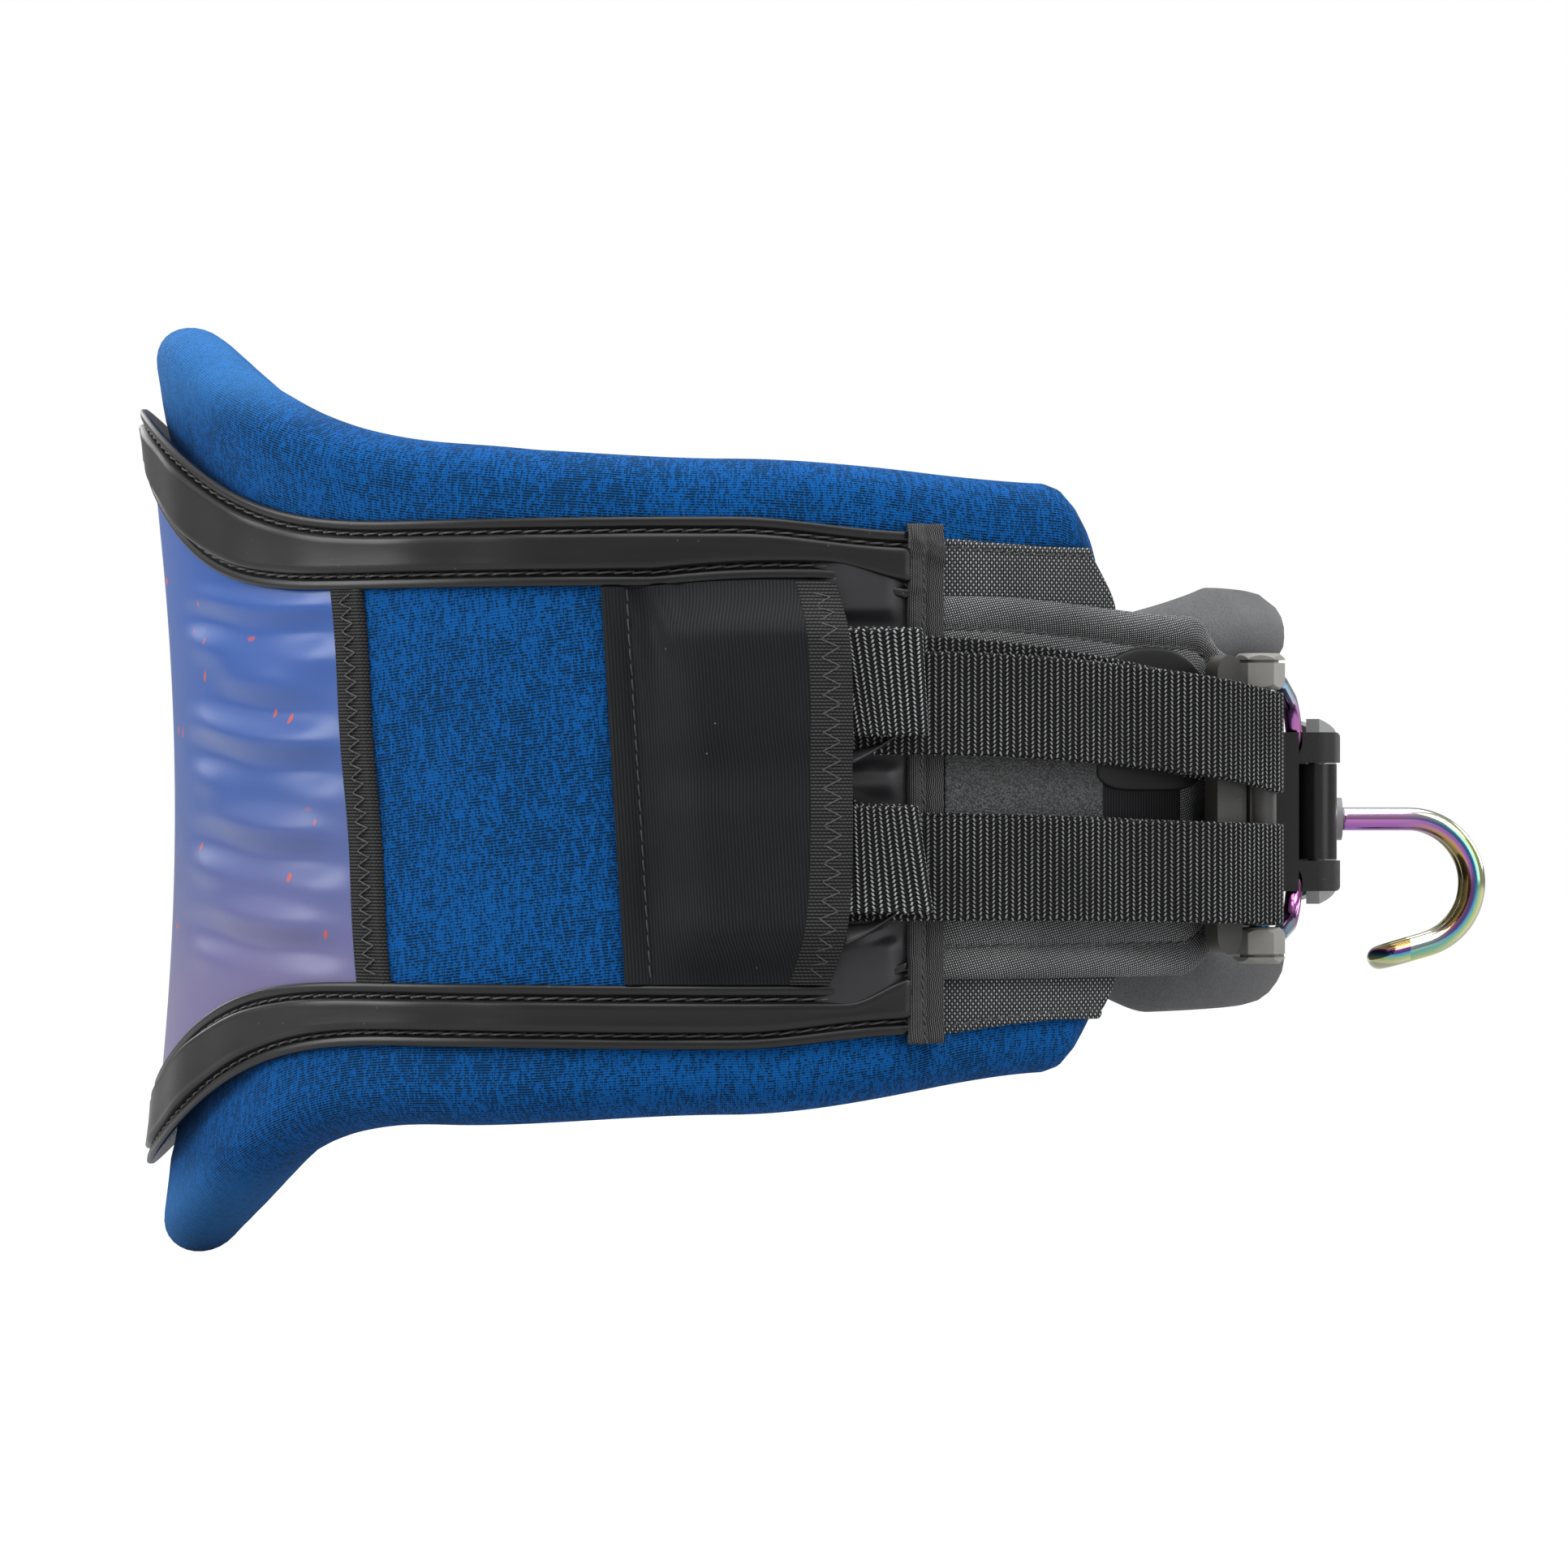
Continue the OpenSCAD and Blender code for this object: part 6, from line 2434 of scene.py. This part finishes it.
@dataclass(frozen=True)
class Rods:
    """The bent steel: the wing rods with their end rods, and the hook."""

    hinge_x: float = 175.5
    hinge_y: float = 45.0
    hinge_z: float = 135.45
    bracket_h: float = 47.6
    ferrule_z: tuple[float, float] = (96.85, 176.45)
    hook_at: tuple[float, float] = (207.5, 113.3)
    hook_r: float = 19.7
    turn: float = 164.0
    tip: float = 9.0
    half: float = 6.0

    def wing(self) -> Cut:
        """Two bent rods that join the end rod to a bracket.

        Returns:
            The cut.
        """
        end = Straps().plan(WAIST.end_rod_angle, WAIST.end_rod_d) * -1
        cut = Cut()
        for up, z in zip((-1, 1), self.ferrule_z):
            x, y = self.hinge_x - 9.5 - WAIST.middle_x, -self.hinge_y - 15
            edge = self.hinge_z + up * self.bracket_h / 2
            corners = [
                Vector((-end.x, end.y, z)), Vector((-end.x + 6.8, end.y + 15.2, z - up * 2.6)),
                Vector((x, y, edge + up * 9.5)), Vector((x + 1.6, y + 7, edge + up * 4.5)),
                Vector((x + 2.9, y + 10.4, edge - up * 5)),
            ]
            tube = Tube(2.5)
            tube.sweep(cut, tube.round(corners))
        low, high = self.ferrule_z[0] - 3.75, self.ferrule_z[1] + 3.75
        return Tube(3.0).sweep(cut, [Vector((-end.x, end.y, low + (high - low) * i / 8)) for i in range(9)])

    def hook(self) -> Cut:
        """Two rods side by side: shank, bend, a straight tip, and a half turn that joins them.

        Returns:
            The cut.
        """
        x, z = self.hook_at[0] - WAIST.middle_x, self.hook_at[1]
        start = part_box("hook")[0][0] / MM
        half = [Vector((start + (x - start) * i / 8, self.half, z + self.hook_r)) for i in range(8)]
        for t in spread(0, self.turn, 4):
            sin, cos = math.sin(math.radians(t)), math.cos(math.radians(t))
            half.append(Vector((x + self.hook_r * sin, self.half, z + self.hook_r * cos)))
        on = Vector((math.cos(math.radians(self.turn)), 0, -math.sin(math.radians(self.turn))))
        half += [half[-1] + on * self.tip * i / 4 for i in range(1, 5)]
        middle = half[-1] - Vector((0, self.half, 0))
        nose = [
            middle + on * self.half * math.sin(t) + Vector((0, self.half * math.cos(t), 0))
            for t in (math.pi * i / 24 for i in range(1, 24))
        ]
        other = [Vector((p.x, -p.y, p.z)) for p in reversed(half)]
        return Tube(3.5, sides=48).sweep(Cut(), half + nose + other)

    def build(self) -> None:
        """Makes the hook and both wings."""
        self.hook().wear("hook.steel", TINTED, "hook", body="centre")
        for side in Side:
            cut = self.wing()
            cut.points = [Vector((p.x, -p.y * side.value, p.z)) for p in cut.points]
            cut.wear(f"wing_rods_{side.word}.steel", TINTED, f"wing_rods_{side.word}", body=f"{side.word}_wing")


@dataclass(frozen=True)
class Hardware:
    """The CAD hardware, which keeps its shape and gets its finishes."""

    worn: tuple[tuple[str, Finish], ...] = (
        ("strap_plate_right", GREY_PLASTIC), ("strap_plate_left", GREY_PLASTIC),
        ("ferrules_right", FERRULE_PLASTIC), ("ferrules_left", FERRULE_PLASTIC),
        ("bracket_right", BLACK_PLASTIC), ("bracket_left", BLACK_PLASTIC),
        ("hinge_pin_right", PIN_STEEL), ("hinge_pin_left", PIN_STEEL),
        ("barrel_right", BARREL_PLASTIC), ("barrel_left", BARREL_PLASTIC),
        ("hook_plate", CENTRE_PLASTIC), ("hook_boss", CENTRE_PLASTIC),
        ("lumbar_shell", COMPOSITE),
    )

    def build(self) -> None:
        """Dresses each node."""
        for name, finish in self.worn:
            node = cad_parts[name]
            node.data.materials.clear()
            node.data.materials.append(finish.material())
            LOG.info("%s wears %s", name, finish.name)


@dataclass(frozen=True)
class Studio:
    """Camera, lamps, floor and white surroundings."""

    distance: float = 1.9
    eye_x: float = 0.01537
    eye_z: float = 0.14375
    lens: float = 141.6
    sky: tuple[float, float] = (0.08, 0.50)
    mirrored: float = 0.25
    glow: float = 1.17
    floor_white: float = 0.84

    def build(self) -> None:
        """Sets the scene up."""
        scene = bpy.context.scene
        scene.view_settings.view_transform = "Standard"
        self.camera(scene)
        self.surroundings(scene)
        self.floor()
        for name, place, size, power, tint in (
            ("key", (-0.3, -1.1, 1.7), 1.3, 16.0, (1.0, 0.99, 0.98)),
            ("right", (1.1, -0.7, 1.5), 1.0, 15.0, (1.0, 1.0, 1.0)),
            ("fill", (1.4, -1.2, 0.6), 1.0, 6.0, (0.97, 0.98, 1.0)),
            ("back", (-1.6, -0.4, 0.8), 1.0, 18.0, (1.0, 1.0, 1.0)),
            ("top", (0.1, 0.3, 1.7), 1.2, 18.0, (1.0, 1.0, 1.0)),
            ("rear", (-1.0, 1.4, 0.9), 1.0, 8.0, (1.0, 1.0, 1.0)),
            ("front", (1.5, 0.9, 0.8), 0.9, 14.0, (1.0, 1.0, 1.0)),
        ):
            self.lamp(name, Vector(place), size, power, tint)

    def camera(self, scene: bpy.types.Scene) -> None:
        """The camera, level with the waist and square to the wearer's right side.

        Args:
            scene: The scene.
        """
        data = bpy.data.cameras.new("view")
        data.lens = self.lens
        data.sensor_width = 36.0
        camera = bpy.data.objects.new("view", data)
        camera.location = (self.eye_x - WAIST.middle_x * MM, -self.distance, self.eye_z)
        camera.rotation_euler = (math.pi / 2, 0, 0)
        scene.collection.objects.link(camera)
        scene.camera = camera

    def surroundings(self, scene: bpy.types.Scene) -> None:
        """A soft world, brighter above, that shows white behind the object.

        Args:
            scene: The scene.
        """
        world = bpy.data.worlds.new("surroundings")
        world.use_nodes = True
        world.node_tree.nodes.clear()
        nodes = Nodes(world.node_tree)
        place = nodes.out(nodes.node("ShaderNodeTexCoord", {}, {}), "Generated")
        height = nodes.out(nodes.node("ShaderNodeSeparateXYZ", {}, {0: place}), "Z")
        low, high = self.sky
        level = nodes.node("ShaderNodeMapRange", {}, {"Value": height, "To Min": low, "To Max": high})
        white = (1.0, 1.0, 1.0, 1.0)
        light = nodes.node("ShaderNodeBackground", {}, {"Color": white, "Strength": nodes.out(level)})
        seen = nodes.node("ShaderNodeBackground", {}, {"Color": white, "Strength": 1.0})
        shares = {0: self.share(nodes, 1.0), 1: nodes.out(light), 2: nodes.out(seen)}
        nodes.node("ShaderNodeOutputWorld", {}, {0: nodes.out(nodes.node("ShaderNodeMixShader", {}, shares))})
        scene.world = world

    def share(self, nodes: Nodes, seen: float) -> Wire:
        """How much of the white a ray sees: the camera most, reflections and clear parts some.

        Args:
            nodes: The tree's nodes.
            seen: The camera's share.

        Returns:
            The share.
        """
        path = nodes.node("ShaderNodeLightPath", {}, {})
        rays = ("Camera", "Glossy", "Transmission")
        camera, glossy, clear = (nodes.out(path, f"Is {ray} Ray") for ray in rays)
        return camera * seen + (glossy + clear) * self.mirrored

    def floor(self) -> None:
        """A pale floor that keeps the object's shadow."""
        mesh = bpy.data.meshes.new("floor")
        half, level = 6.0, -0.0004
        corners = [(-half, -half, level), (half, -half, level), (half, half, level), (-half, half, level)]
        mesh.from_pydata(corners, [], [(0, 1, 2, 3)])
        bench = Bench("floor")
        bench.finish(base_color=(0.45, 0.45, 0.45), roughness=0.9, specular_ior_level=0.0)
        glow = bench.node("ShaderNodeEmission", {}, {"Strength": self.glow})
        shares = {0: self.share(bench, self.floor_white), 1: bench.out(bench.shader), 2: bench.out(glow)}
        mixed = bench.node("ShaderNodeMixShader", {}, shares)
        bench.tree.links.new(mixed.outputs[0], bench.tree.nodes["Material Output"].inputs[0])
        mesh.materials.append(bench.material)
        floor = bpy.data.objects.new("floor", mesh)
        bpy.context.scene.collection.objects.link(floor)

    def lamp(self, name: str, place: Vector, size: float, power: float, tint: Colour) -> None:
        """A square soft lamp that faces the object.

        Args:
            name: Its name.
            place: Where it stands, in metres.
            size: Length of its side.
            power: Its power in watts.
            tint: Its colour.
        """
        data = bpy.data.lights.new(name, "AREA")
        data.shape = "SQUARE"
        data.size = size
        data.energy = power
        data.color = tint
        lamp = bpy.data.objects.new(name, data)
        lamp.location = place
        lamp.rotation_euler = (Vector((0, 0, 0.14)) - place).to_track_quat("-Z", "Y").to_euler()
        bpy.context.scene.collection.objects.link(lamp)


def write_sizes() -> None:
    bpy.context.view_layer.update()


def main() -> None:
    """Builds the harness from the wall outwards."""
    logging.basicConfig(level=logging.INFO, format="%(name)s: %(message)s")
    Studio().build()
    sewer = Seamstress(Sewing(), Ribbing())
    Lining().build()
    BackShell().build(sewer)
    EdgeTrims().build(sewer)
    SidePanels().build()
    StrapPocket().build(sewer)
    FrontPanels().build(sewer)
    Straps().build(sewer)
    BarPad().build()
    Rods().build()
    Hardware().build()
    write_sizes()


if __name__ == "__main__":
    main()
